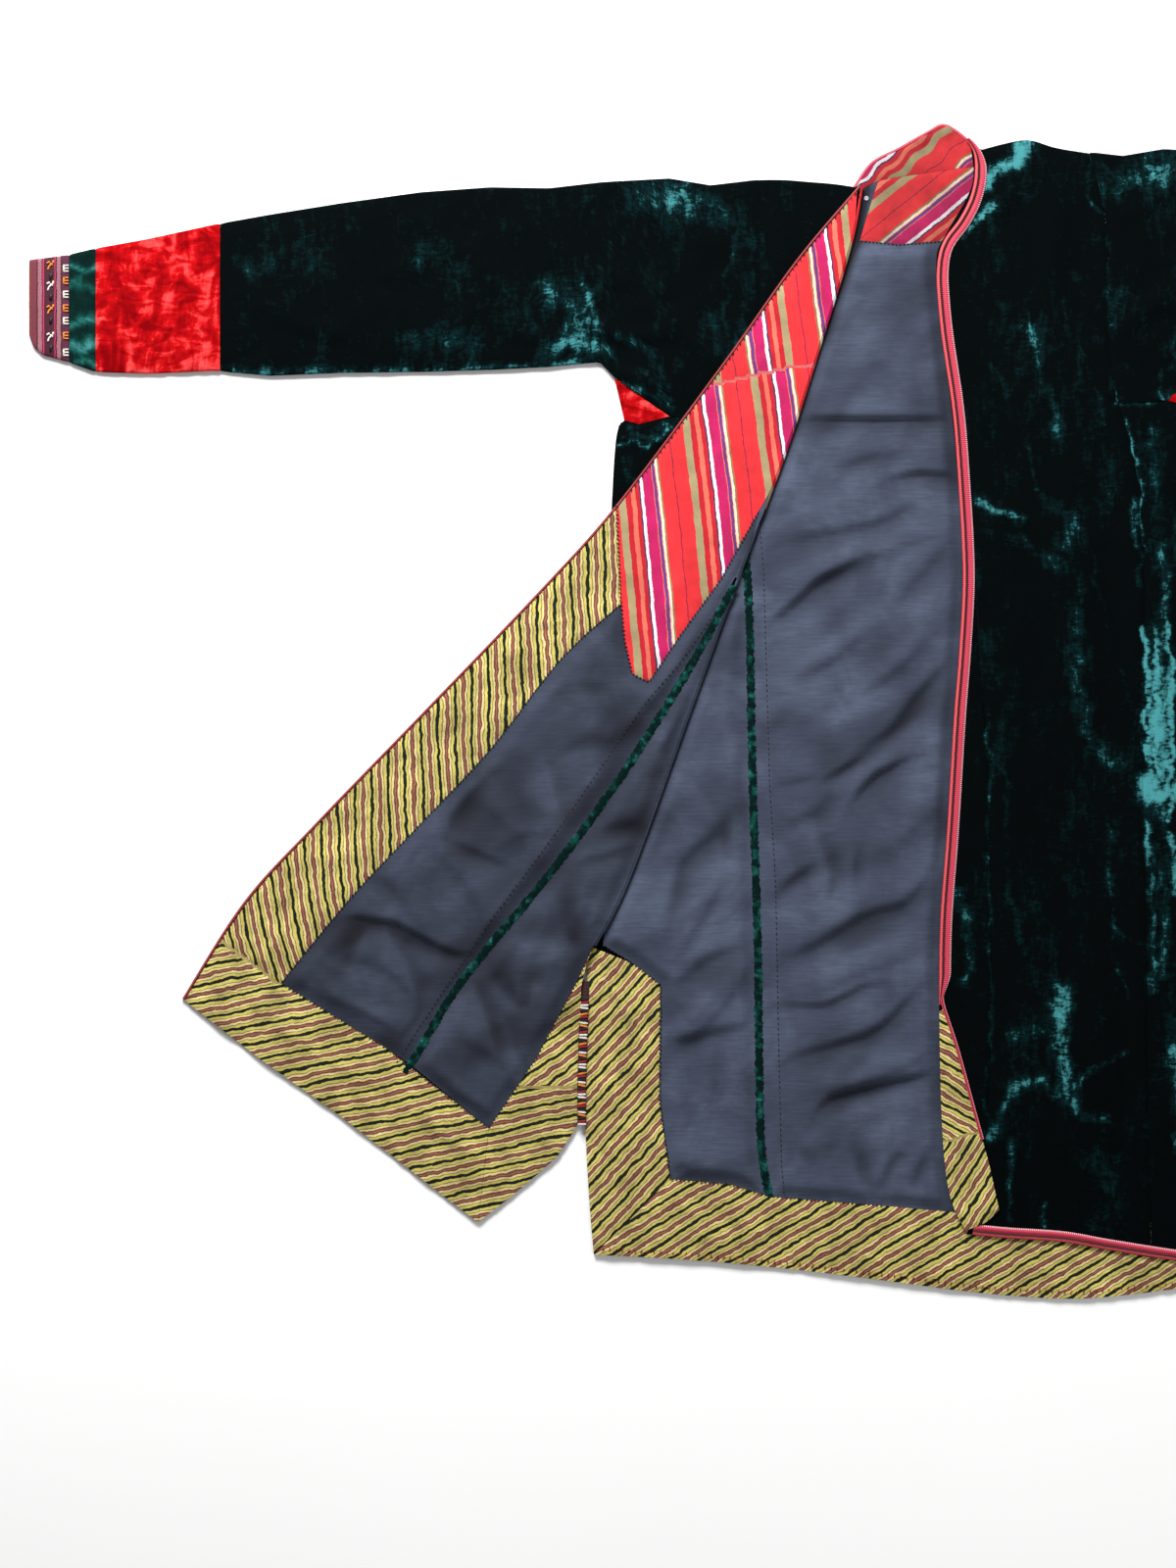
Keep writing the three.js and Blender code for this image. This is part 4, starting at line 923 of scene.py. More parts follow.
# Painted sheen of the velvet, in strokes: points along each stroke, half width, strength.
PAINTED_SHEEN_STROKES = [
    ([(109, 579), (99, 561), (77, 547), (69, 538)], 9, 0.85),
    ([(81, 520), (63, 504), (49, 488)], 6, 0.70),
    ([(175, 566), (176, 540), (178, 518), (202, 500), (213, 479), (215, 454)], 2, 0.36),
    ([(215, 454), (238, 418), (269, 374)], 1.8, 0.42),
    ([(195, 500), (194, 425), (197, 365), (202, 336), (205, 315)], 2.2, 0.34),
    ([(201, 311), (223, 313), (245, 316)], 2, 0.42),
    ([(195, 426), (211, 396), (205, 356)], 9, 0.20),
    ([(216, 297), (227, 247), (231, 193), (236, 165)], 2, 0.62),
    ([(222, 216), (225, 192), (225, 166)], 5, 0.60),
    ([(241, 286), (245, 226), (241, 166)], 10, 0.26),
    ([(251, 166), (253, 126), (249, 76)], 9, 0.42),
    ([(227, 160), (229, 126)], 4, 0.45),
    ([(246, 76), (248, -14), (250, -104)], 15, 0.56),
    ([(230, 85), (233, 26), (237, -61)], 3, 1.0),
    ([(240, 69), (245, 6), (247, -75)], 3.6, 0.95),
    ([(256, 94), (259, 6), (258, -110)], 3.4, 1.0),
    ([(237, -74), (249, -86), (271, -80)], 13, 1.1),
    ([(261, -124), (262, -154), (261, -184)], 7, 0.75),
    ([(251, -104), (251, -174), (253, -264)], 10, 0.34),
    ([(237, -117), (238, -154)], 4.5, 0.62),
    ([(273, 186), (279, 26), (273, -174)], 7, 0.60),
    ([(238, -164), (239, -224), (241, -282)], 5, 0.50),
    ([(275, -174), (279, -254), (271, -334)], 12, 0.34),
    ([(116, 393), (127, 343), (134, 315), (143, 286)], 7, 0.30),
    ([(105, 346), (125, 350)], 5, 0.24),
    ([(65, 370), (79, 346), (95, 322)], 4, 0.22),
    ([(81, 436), (87, 411)], 4, 0.22),
    ([(111, 282), (120, 243), (127, 218)], 2.2, 0.36),
    ([(61, 216), (84, 204), (109, 193)], 5, 0.66),
    ([(99, 180), (117, 166), (129, 154)], 7, 0.34),
    ([(134, 215), (159, 197), (152, 165)], 12, 0.36),
    ([(131, 157), (163, 136), (159, 86), (161, 36)], 12, 0.30),
    ([(161, 36), (177, -23), (195, -45), (209, -56)], 9, 0.36),
    ([(177, 161), (191, 107), (199, 57), (213, 32)], 1.8, 0.26),
    ([(131, 443), (156, 393), (181, 336), (191, 279), (197, 200)], 1.6, 0.22),
    ([(71, 7), (75, -87), (73, -184), (77, -290), (75, -350), (69, -410)], 2, 0.34),
    ([(90, -12), (92, -143), (105, -234)], 3, 0.20),
    ([(197, -106), (199, -215), (203, -260), (218, -294)], 1.8, 0.34),
    ([(193, -214), (215, -232), (245, -240)], 1.6, 0.28),
    ([(143, -276), (150, -312), (148, -343), (154, -373), (158, -407)], 10, 0.58),
    ([(209, -348), (180, -365), (162, -384)], 5, 0.46),
    ([(73, -437), (94, -391), (120, -376), (150, -399), (173, -414), (195, -414)], 7, 0.46),
    ([(95, -334), (125, -324), (145, -334)], 8, 0.30),
    ([(94, -440), (95, -484), (94, -520)], 4, 0.48),
    ([(132, -502), (132, -526)], 3, 0.50),
    ([(165, -454), (195, -474), (185, -514)], 12, 0.22),
    ([(259, -340), (266, -384), (268, -450)], 7, 0.56),
    ([(43, -179), (56, -237), (50, -278)], 6, 0.42),
    ([(305, 426), (295, 26), (305, -474)], 20, 0.36),
    ([(365, 226), (375, -74), (355, -374)], 16, 0.40),
    ([(445, 466), (505, 426), (585, 396)], 16, 0.30),
    ([(565, 496), (625, 456), (705, 406)], 18, 0.26),
    ([(315, 360), (465, 350), (665, 350)], 4, 0.60),
    ([(-285, 522), (-245, 520), (-191, 500)], 16, 0.32),
    ([(-235, 530), (-195, 510), (-165, 476)], 10, 0.24),
    ([(-375, 426), (-349, 408), (-343, 382)], 14, 0.34),
    ([(-339, 436), (-329, 408), (-323, 380)], 3, 0.40),
    ([(-329, 410), (-317, 386), (-319, 366)], 3, 0.45),
    ([(-379, 368), (-349, 376), (-317, 368)], 9, 0.50),
    ([(-455, 350), (-395, 352), (-335, 355)], 4, 0.50),
    ([(-710, 347), (-595, 345), (-455, 349)], 4, 0.40),
    ([(-695, 464), (-673, 446), (-653, 464)], 10, 0.22),
    ([(-635, 490), (-617, 464), (-625, 426)], 14, 0.14),
    ([(-555, 374), (-495, 382), (-435, 376)], 12, 0.18),
    ([(-495, 466), (-435, 426), (-395, 396)], 22, 0.14),
    ([(-295, 330), (-271, 322), (-245, 312)], 5, 0.40),
    ([(-285, 350), (-267, 334), (-245, 328)], 2.5, 0.42),
    ([(-305, 386), (-275, 366), (-259, 340)], 4, 0.36),
    ([(-306, 275), (-285, 271), (-263, 279), (-245, 290)], 2.5, 0.60),
    ([(-301, 281), (-275, 281), (-251, 289)], 4, 0.45),
    ([(-295, 292), (-273, 288), (-245, 298)], 5, 0.34),
    ([(-863, 454), (-851, 448), (-837, 450)], 4, 0.6),
    ([(-863, 432), (-851, 436), (-837, 430)], 5, 0.5),
    ([(-863, 396), (-851, 400), (-837, 396)], 4, 0.5),
    ([(-863, 376), (-851, 372), (-837, 374)], 7, 0.8),
    ([(-855, 360), (-845, 355), (-836, 350)], 4, 0.6),
    ([(-299, 256), (-287, 226), (-303, 206)], 6, 0.30),
    ([(-207, 396), (-193, 360), (-175, 386)], 10, 0.24),
    ([(-193, 526), (-191, 466), (-195, 396)], 2.0, 0.34),
]


def creased(points, rows):
    """Height of soft creases, each tapered at its ends and steeper on one side."""
    return folded(points, [(line, width, width * 0.6, height) for line, width, height in rows], 0.02, 0.7)


def tucked(points, rows):
    """Depth of folds that dip steeply on the left of their line and rise gently on its right."""
    return folded(points, rows, 0.03, 0.6)


def folded(points, rows, end, power):
    """Sum of (line, width on its left, width on its right, height), low at the ends of each line."""
    total = np.zeros(len(points))
    for line, left, right, height in rows:
        distance, share, side = nearest(points, smooth(line, 4))
        spread = np.where(side > 0, left, right)
        taper = np.sin(math.pi * np.clip(share, end, 1 - end)) ** power
        total += height * taper * np.exp(-((distance / spread) ** 2))
    return total


def ridged(points, rows):
    """Height of long folds that run down the garment and fade out at both ends."""
    total = np.zeros(len(points))
    x, y = points.T
    for x0, lean, y0, y1, width, height in rows:
        share = (y0 - y) / (y0 - y1)
        along = fade(share, 0, 0.3) * (1 - fade(share, 0.7, 1))
        total += height * along * np.exp(-(((x - x0 - lean * share) / width) ** 2))
    return total


def painted_pile_sheen(points):
    """Painted sheen of the velvet: listed strokes with ragged edges on a blotched ground."""
    total = np.zeros(len(points))
    ragged = points + 4.2 * np.column_stack([noise(points, 15, 73, 1, 1), noise(points, 15, 74, 1, 1)])
    for line, width, strength in PAINTED_SHEEN_STROKES:
        distance = nearest(ragged, smooth(line, 4))[0]
        total = np.maximum(total, 0.92 * strength * np.exp(-((distance / width) ** 2)))
    broad = 0.10 * noise(points, 46, 71, 1.8, 1.2) + 0.08 * noise(points, 14, 72, 2.6, 1.45)
    return total + 0.10 + broad


def painted_lining_shade(points, tucks):
    """Painted shade on the lining: dark in its tucks, and in soft bands across it."""
    bands = noise(points, 36, 44, 2.0, 0.4) + 0.6 * noise(points, 15, 45, 2.2, 0.5)
    return 0.30 * tucked(points, tucks) + np.clip(0.26 + 0.56 * (bands - bands.mean()), 0, 1)


def painted_overhang_shadow(points):
    """Painted shadow on the back's lining: darker beside the fold and the braid, and towards the neck."""
    x, y = points.T
    from_fold = x - cross_at(fold_line, y)
    from_braid = cross_at(left_edge, y) - x
    neck = 1.6 * (1 - fade(from_fold, 3, 17)) * fade(y, 346, 456)
    sides = 0.6 * (1 - fade(from_fold, 2, 14)) + 0.5 * (1 - fade(from_braid, 2, 15))
    return neck + sides + 0.34 * fade(y, 206, 286)


LINING_LIFT = 5.0  # the loose lining stands off the back by this much before creases and tucks


def field_back(points):
    """Middle of the back's velvet, on the table."""
    return np.full(len(points), VELVET / 2)


def field_lining(points):
    """Folds of the lining that lies on the back: none where another layer covers it."""
    x, y = points.T
    from_fold = x - cross_at(fold_line, y) + 60 * (y < SLIT_TOP_Y)
    calm = fade(np.minimum(cross_at(left_edge, y) - x, from_fold), 2, 16)
    soft = 0.35 + 0.35 * noise(points, 42, 5, 2.2, 0.35) + 0.18 * noise(points, 17, 6, 1.6, 0.2)
    loose = calm * within(points, ("back_lining_centre", "back_lining_gore"))
    lift = LINING_LIFT + 1.7 * creased(points, LINING_CREASES) - 1.6 * tucked(points, LINING_TUCKS)
    return LINING_Z + calm * np.clip(2.3 * soft, 0, 3.6) + loose * np.clip(lift, 0, 8)


def within(points, nodes):
    """Nothing at the edges of some nodes' outlines and outside them, full well inside."""
    total = np.zeros(len(points))
    for node in nodes:
        rim = outline(node)
        inward = nearest(points, np.vstack([rim, rim[:1]]))[0]
        total = np.maximum(total, fade(inward, 1, 16) * inside(points, rim))
    return total


def field_left(points):
    """Middle of the left front's velvet, with its folds, flat towards the side."""
    x, y = points.T
    side = cross_at(side_l, y)
    calm = 1 - fade(x, side - 57, side - 28)
    soft = 0.5 * noise(points, 34, 11, 2.4, 1.5) + 0.25 * noise(points, 13, 12, 2.0, 1.4)
    lift = np.clip(ridged(points, RIDGES) + creased(points, LEFT_CREASES) + soft, -0.25, 6)
    return FRONT_Z + VELVET / 2 + calm * lift


def field_turned(points):
    """Middle of the turned front's velvet, which comes down from the body to the table."""
    x, y = points.T
    side = cross_at(side_r, y) - DRAPE_OVERLAP
    on_body = fade(x, side - DRAPE_RUN, side)
    above_slit = fade(y, SLIT_TOP_Y - SLIT_LAP - DRAPE_RUN, SLIT_TOP_Y - SLIT_LAP)
    rest = VELVET / 2 + TURNED_Z * on_body * above_slit
    soft = 0.4 * noise(points, 30, 21, 2.0, 0.9) + 0.22 * noise(points, 12, 22, 1.5, 0.8) + 0.35
    lift = ridged(points, TURNED_RIDGES) + creased(points, TURNED_CREASES) + soft
    return rest + np.clip(lift, 0, 6) * fade(nearest(points, fold_line)[0], 0, 18)


def field_lower(points):
    """Middle of the right front's velvet that stays on the body, beside the fold."""
    near = np.minimum(nearest(points, armhole_r)[0], nearest(points, shoulder_r)[0])
    return FRONT_Z + VELVET / 2 + fade(near, 0, 12) * np.clip(creased(points, LOWER_CREASES), 0, 3)


def eased(xy, loop, drop, reach, soft):
    """How far the top of a piece comes down at its edges, but for edges that another part carries on."""
    closed = np.vstack([loop, loop[:1]])
    d = nearest(xy, closed)[0]
    down = drop * np.exp(-((d / reach) ** 2))
    for line in soft:
        down *= fade(nearest(xy, line)[0], 1.0, 5.0)
    return down


def lay(piece, loop, field, low, high, step=STEP, drop=0.6, reach=2.2, weave=None, soft=(), nap=None):
    """Adds a flat piece of cloth between two offsets from a field of heights."""
    rim = relaxed(loop, min(step, STEP))
    xy, tris = fill(rim, step)
    mid = field(xy)
    down = eased(xy, rim, drop, reach, soft)
    under = mid + low + np.minimum(down, (high - low) * 0.3)
    points, faces = shell(xy, tris, under, mid + high - down)
    spots = points[:, :2]
    piece.add(points, faces, weave and weave(spots), nap and nap(spots))
    piece.cloth += area_of(loop)


def turned_about(degrees):
    """Stripes' coordinates: across stripes that run at an angle up from the x axis."""
    c, s = math.cos(math.radians(degrees)), math.sin(math.radians(degrees))
    return lambda xy: np.column_stack([xy[:, 1] * c - xy[:, 0] * s, xy[:, 0] * c + xy[:, 1] * s])


def dress(piece, kind, node):
    """Makes the object, hangs it from the root, and hides the solid it stands for, if any."""
    thing = piece.build(STUFF[kind])
    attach(thing, "root")
    if node:
        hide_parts(node)


def flat_node(node, kind, slot, field, low, high, cut, rests_on, loop=None, held="laid", **more):
    """A flat piece of cloth in the outline of a solid, or in another loop."""
    piece = Piece(node + "_cloth")
    lay(piece, outline(node) if loop is None else loop, field, low, high, **more)
    dress(piece, kind, node)


# ---- back ----

HALF = VELVET / 2
FACING_LOW = HALF + GAP
FACING_HIGH = FACING_LOW + LINING


def build_back():
    panels = ("back_centre", (345, 1160)), ("back_gore_r", (200, 880)), ("back_gore_l", (200, 900))
    under = ["table"]
    for node, cut in panels:
        flat_node(node, "velvet", "velvet", field_back, -HALF, HALF, cut, under, nap=painted_pile_sheen, step=COARSE)
    flat_node("collar", "velvet", "velvet", field_back, -HALF, HALF, (150, 65), under, nap=painted_pile_sheen)


def puckered(field, seed, covered=False):
    """The same heights with the fine puckers of hand-sewn facings, flat where the left front lies on them."""

    def heights(points):
        fine = 0.42 * noise(points, 6.5, seed, 1.7, 0.5) + 0.30 * noise(points, 3.6, seed + 1, 1.4, 2.0)
        total = 0.35 + fine + 0.5 * noise(points, 21, seed + 2, 1.5, 1.0)
        if covered:
            x, y = points.T
            total = total * (1 - fade(x - cross_at(left_edge, y), -8, 2) * (y > cross_hem(x)))
        return field(points) + total

    return heights


def cross_hem(x):
    """Height of the left front's hem line at each x."""
    return np.interp(x, left_hem[:, 0], left_hem[:, 1]) - 4


def raised(points, line, width, height):
    """A rounded welt along a line."""
    return height * np.exp(-((nearest(points, line)[0] / width) ** 2))


BACK_STITCHED = [
    (-160, 191), (-156, 139), (-154, 68), (-150, -74), (-144, -174), (-141, -333), (-138, -461), (-135, -493),
]
TURNED_STITCHED = [
    (-209, 96), (-240, 51), (-278, 7), (-321, -56), (-375, -134), (-435, -214), (-495, -304), (-531, -359),
]


def field_back_lining(points):
    lift = raised(points, BACK_STITCHED, 3.2, 0.8) + raised(points, back_lining_seam, 6, 0.5)
    return field_lining(points) + lift


TURNED_LIFT = 4.2  # the loose lining stands off the turned front by this much before its tucks


def field_turned_lining(points):
    """The turned front's lining: loose within its own edges, and tucked where it creases."""
    loose = within(points, ("front_r_lining", "front_r_gore_lining"))
    lift = np.clip(TURNED_LIFT - 1.6 * tucked(points, TURNED_TUCKS), 0, 6)
    seams = raised(points, TURNED_STITCHED, 3.4, 0.9), raised(points, turned_seam, 6, 0.4)
    return field_turned(points) + loose * lift + seams[0] + seams[1]


def build_back_linings():
    on_back = ["back_centre"]
    for node, cut in (("back_lining_centre", (255, 980)), ("back_lining_gore", (150, 640))):
        # The linings carry painted shade in tucks and bands, and painted shadow beside the fold, the braid
        # and towards the neck.
        flat_node(node, "lining", "lining", field_back_lining, 0, LINING, cut, on_back, drop=0.4,
                  nap=lambda spots: painted_lining_shade(spots, LINING_TUCKS) + painted_overhang_shadow(spots))
    red = turned_about(39)
    flat_node("back_neck_facing", "shaded_red_stripe", "red_stripe", field_lining, 0, LINING, (85, 130), on_back,
              step=3.0, drop=0.4, weave=lambda xy: red(xy) + NECK_SHIFT)
    sewn = puckered(field_lining, 81, covered=True)
    flat_node("back_hem_facing", "yellow_stripe", "yellow_stripe", sewn, 0, LINING, (120, 700), on_back,
              step=3.2, drop=0.4, weave=turned_about(31))
    loop = outline("back_slit_facing")
    edge = cross_at(side_r, loop[:, 1])
    at_top = (loop[:, 1] > SLIT_TOP_Y - 48) & (loop[:, 0] < edge + 16)
    loop[at_top, 0] = edge[at_top] - 3.5  # its top end reaches past the side, under the turned front
    flat_node("back_slit_facing", "yellow_stripe", "yellow_stripe", sewn, 0, LINING, (90, 340), on_back, loop,
              step=3.2, drop=0.4, weave=turned_about(47))
    piping = Piece("collar_piping")
    ribbon(piping, collar_edge[::-1], 3.4, lambda spots: np.full(len(spots), LINING_Z + 0.2), -1.2, 1.0,
           [-1.0, 0.3, 0.6, 0.2, -0.8], inner=-0.6)
    dress(piping, "piping", None)
    flat_node("collar_facing", "shaded_red_stripe", "red_stripe", field_collar, 0, LINING, (150, 65), ["collar"],
              step=3.0, drop=0.5, weave=collar_weave)
    strip = Piece("back_seam_velvet")
    jagged_strip(strip, back_lining_seam, ALLOWANCE_WIDTH + 2, field_lining, 0, LINING, 41)
    dress(strip, "trim", "back_seam_allowance")


NECK_SHIFT = (21.5, 0.0)
COLLAR_SHIFT = (-36.5, 0.0)


def field_collar(points):
    return LINING_Z + 0.5 + 0.7 * noise(points, 7, 31, 1.6, 0.9) * fade(points[:, 1], 560, 585)


def collar_weave(xy):
    flat = turned_about(43)(xy) + COLLAR_SHIFT
    return flat + np.column_stack([1.6 * np.sin(flat[:, 1] / 5.2), np.zeros(len(flat))])


def flat_band(grid, z, low, high):
    """A band over a grid of points in the plane, at the heights z."""
    up = np.zeros(z.shape + (3,))
    up[..., 2] = 1
    return band(np.dstack([grid, z]), up, low, high)


FRAY_STEP = 1.6


def jagged_strip(piece, line, width, field, low, high, seed):
    """A strip of raw velvet whose edges are frayed."""
    line = resample(line, FRAY_STEP)
    rng = np.random.default_rng(seed)
    edges = []
    for side in (-1, 1):
        wander = width / 2 * (0.75 + 0.5 * rng.random(len(line)))
        edges.append(line + (beside(line, 1.0) - line) * (side * wander)[:, None])
    across = np.array([0.0, 0.25, 0.5, 0.75, 1.0])[None, :, None]
    grid = edges[0][:, None] * (1 - across) + edges[1][:, None] * across
    shape = grid.shape[:2]
    z = field(grid.reshape(-1, 2)).reshape(shape) + rng.uniform(0, 0.5, shape)
    points, faces = flat_band(grid, z, low, high + np.array([0.0, 0.5, 0.7, 0.5, 0.0]))
    spots = points[:, :2]
    # Painted sheen in tufts along the strip.
    piece.add(points, faces, None, 0.14 + 0.42 * noise(spots, 5.5, seed) + 0.2 * noise(spots, 2.2, seed + 1))
    piece.cloth += width * len(line) * FRAY_STEP


BRAID_STEP = 2.4


def ribbon(piece, line, width, field, low, high, profile, inner=0.0, taper=0.0):
    """A braid beside a line: across runs from 0 at the line's inner side to 1 at its far edge."""
    line = resample(line, BRAID_STEP)
    share = np.linspace(0, 1, len(profile))
    normal = beside(line, 1.0) - line
    run = np.arange(len(line)) * BRAID_STEP
    grow = np.ones(len(line))
    if taper:
        grow = 0.4 + 0.6 * fade(run, 0, taper)
        grow *= 0.3 + 0.7 * fade(run[::-1], 0, taper)
    grid = line[:, None] + normal[:, None] * (inner + grow[:, None] * width * share[None, :])[..., None]
    shape = grid.shape[:2]
    z = field(grid.reshape(-1, 2)).reshape(shape)
    points, faces = flat_band(grid, z, low, high + np.array(profile)[None, :])
    weave = np.dstack([np.broadcast_to(share, shape), np.broadcast_to(run[:, None], shape)])
    piece.add(points, faces, np.tile(weave.reshape(-1, 2), (2, 1)))
    piece.cloth += width * run[-1]


# ---- left front ----

BRAID_PROFILE = [-0.6, 0.1, 0.5, 0.45, -0.2, -0.1, 0.5, 0.7, 0.6, 0.0, -0.5]


CORNER_MITRE = np.array([(23, -440), (63, -428)], float)
CORNER_TOP_WEAVE, CORNER_FOOT_WEAVE = turned_about(-30), turned_about(58)


def corner_weave(xy):
    below = xy[:, 1] < np.interp(xy[:, 0], *CORNER_MITRE.T)
    return np.where(below[:, None], CORNER_FOOT_WEAVE(xy), CORNER_TOP_WEAVE(xy))


def build_left_front():
    under = ["back_lining_centre", "back_neck_facing"]
    panels = ("front_l_panel", (200, 1130)), ("front_l_gore", (130, 900)), ("front_l_edge_gore", (60, 760))
    for node, cut in panels:
        flat_node(node, "velvet", "velvet", field_left, -HALF, HALF, cut, under, nap=painted_pile_sheen, drop=1.0,
                  reach=2.6)
    corner_z = FACING_LOW + VELVET + GAP + LINING
    on_gore = ["front_l_edge_gore"]
    flat_node("front_l_corner_facing", "yellow_stripe", "yellow_stripe", field_left, FACING_LOW, corner_z,
              (70, 235), on_gore, held="folded", step=2.6, drop=0.9, weave=corner_weave)
    edge = smooth(BRAID_LINE)
    edge = edge[edge[:, 1] > CORNER_EDGE[0][1] - 3]
    braid = Piece("front_l_braid_cloth")
    ribbon(braid, edge, BRAID_WIDTH, field_left, FACING_LOW, FACING_HIGH, BRAID_PROFILE, taper=34.0)
    tail = smooth([(25.6, -291)] + CORNER_EDGE[:4])
    tail = tail[tail[:, 1] > -439]
    ribbon(braid, tail, 3.2, field_left, corner_z, corner_z + 0.7, [-0.3, 0.2, -0.3], inner=-1.6)
    dress(braid, "braid", "front_l_braid")
    hem = left_hem[left_hem[:, 0] > 54]
    hem_braid = Piece("front_l_hem_braid_cloth")
    ribbon(hem_braid, hem, HEM_BRAID_WIDTH, field_left, FACING_LOW, FACING_HIGH, BRAID_PROFILE)
    dress(hem_braid, "braid", "front_l_hem_braid")


# ---- right front, turned open ----

ROLL_STEPS = 9


def roll_strip(piece, line, mid_radius, wall, weave, tail):
    """Cloth that rolls over the fold line, from the turned layer down towards the layer below."""
    line = resample(line, STEP)
    centre = FRONT_Z + VELVET + TURN_GAP / 2
    angles = np.linspace(math.pi / 2, tail, ROLL_STEPS)
    normal = beside(line, 1.0) - line
    across = mid_radius * np.cos(angles)
    grid = line[:, None] + normal[:, None] * across[None, :, None]
    z = np.broadcast_to(centre + mid_radius * np.sin(angles), grid.shape[:2])
    grid3 = np.dstack([grid, z])
    outward = normal[:, None] * np.cos(angles)[None, :, None]
    up = np.dstack([outward, np.broadcast_to(np.sin(angles), z.shape)])
    points, faces = band(grid3, up, -wall / 2, wall / 2)
    flat = line[:, None] + normal[:, None] * (mid_radius * (math.pi / 2 - angles))[None, :, None]
    flat = np.tile(flat.reshape(-1, 2), (2, 1))
    piece.add(points, faces, weave(flat) if weave else flat)
    piece.cloth += area_of(np.vstack([line, beside(line, mid_radius * 2)[::-1]]))


def part_of_fold(top, bottom):
    return fold_line[(fold_line[:, 1] <= top) & (fold_line[:, 1] >= bottom)]


def part_of_side(top, bottom):
    return side_r[(side_r[:, 1] < top) & (side_r[:, 1] > bottom)]


def build_right_front():
    """The panel's part on the body, and the turned parts of panel and gore, with their rolls."""
    above_slit = side_r[side_r[:, 1] >= SLIT_TOP_Y]
    on_body = np.vstack([shoulder_r, fold_line[:-1], above_slit[::-1], GUSSET[2:0:-1], armhole_r[1:]])
    seam_top = turned_seam[0][1]
    jobs = [
        ("front_r_panel", True, FOLD[0][1], seam_top, (640, 1080), "back_lining_centre"),
        ("front_r_gore", False, seam_top, FOLD[-1][1], (290, 760), "back_gore_r"),
    ]
    for node, panel, top, bottom, cut, under in jobs:
        piece = Piece(node + "_cloth")
        if panel:
            lay(piece, on_body, field_lower, -HALF, HALF, drop=0.9, soft=[fold_line], nap=painted_pile_sheen)
        lay(piece, outline_between(panel), field_turned, -HALF, HALF, step=COARSE * 0.7, drop=0.5,
            soft=[fold_line], nap=painted_pile_sheen)
        radius = (VELVET + TURN_GAP) / 2
        roll_strip(piece, part_of_fold(top, bottom), radius, VELVET, None, -math.pi / 2)
        dress(piece, "velvet", node)


def outline_between(panel):
    """The turned velvet on one side of the gore's seam."""
    if panel:
        fold = part_of_fold(FOLD[0][1], turned_seam[0][1])
        return np.vstack([turned_edge, TURNED_HEM[1:3], turned_seam[::-1], fold[::-1][1:]])
    fold = part_of_fold(turned_seam[0][1], FOLD[-1][1])
    return np.vstack([turned_seam, TURNED_HEM[3:], TURNED_SLIT[1:], fold[::-1][1:]])


FOLD_PATCH = [(-178, 170), (-166, 192), (-154, 218), (-149, 226), (-156, 202), (-167, 178)]
MITRE = np.array([(-713, -231), (-648, -279)], float)  # where the edge's stripes meet the hem's
FAN_Y = -134  # below it the edge's stripes lean over
FAN = 0.0011
EDGE_LEAN = 0.03
SLIT_WEAVE_Y = -382
SLIT_BRAID_Y = (-264, -424)
CORD_WRAP = 1.75  # the piping is folded round the edge
PATCH_SEAM = np.array([(-235, 328), (-209, 332), (-163, 343), (-123, 352), (-85, 354)], float)
RED_LEAN = 0.13
RED_BEND = 0.034  # the red stripes bend outwards below this height
RED_BEND_Y = 221
RED_SHIFT = -24.2
RED_TOP_SHIFT = -28.8
hem_weave = turned_about(12)
diagonal_weave = turned_about(34)


def red_weave(xy):
    """The red stripes run down the facing. Above its seam they are mirrored."""
    bend = RED_BEND * np.clip(RED_BEND_Y - xy[:, 1], 0, None)
    upright = np.column_stack([xy[:, 0] + RED_LEAN * xy[:, 1] + bend, xy[:, 1]])
    flat = upright * math.cos(math.atan(RED_LEAN)) + (RED_SHIFT, 0)
    above = xy[:, 1] > np.interp(xy[:, 0], *PATCH_SEAM.T)
    return np.where(above[:, None], flat * (-1, 1) + (RED_TOP_SHIFT, 0), flat)


def edge_weave(xy):
    """Upright stripes that lean over lower down, and the hem's stripes below the mitre."""
    below = np.clip(FAN_Y - xy[:, 1], 0, None)
    upright = np.column_stack([xy[:, 0] + EDGE_LEAN * xy[:, 1] - FAN * below**2, xy[:, 1]])
    low = xy[:, 1] < np.interp(xy[:, 0], *MITRE.T)
    return np.where(low[:, None], hem_weave(xy), upright)


def slit_weave(xy):
    return np.where((xy[:, 1] < SLIT_WEAVE_Y)[:, None], hem_weave(xy), diagonal_weave(xy))


def field_mitred(points):
    """The turned front's heights with a groove along the mitre of its facings."""
    return field_turned(points) - 0.9 * np.exp(-((nearest(points, MITRE)[0] / 2.5) ** 2))


def field_patch(points):
    return field_turned(points) - 0.3


# Painted shade of the turned lining: darker all over than the back's, and in its tucks and bands.
def painted_turned_shade(points):
    return 0.85 + painted_lining_shade(points, TURNED_TUCKS)


def stretched(loop, near, tip):
    """A loop with one more corner, put in at the side whose middle is nearest to a spot."""
    middles = (loop + np.roll(loop, -1, 0)) / 2
    k = int(np.argmin(np.hypot(*(middles - near).T)))
    return np.insert(loop, k + 1, tip, axis=0)


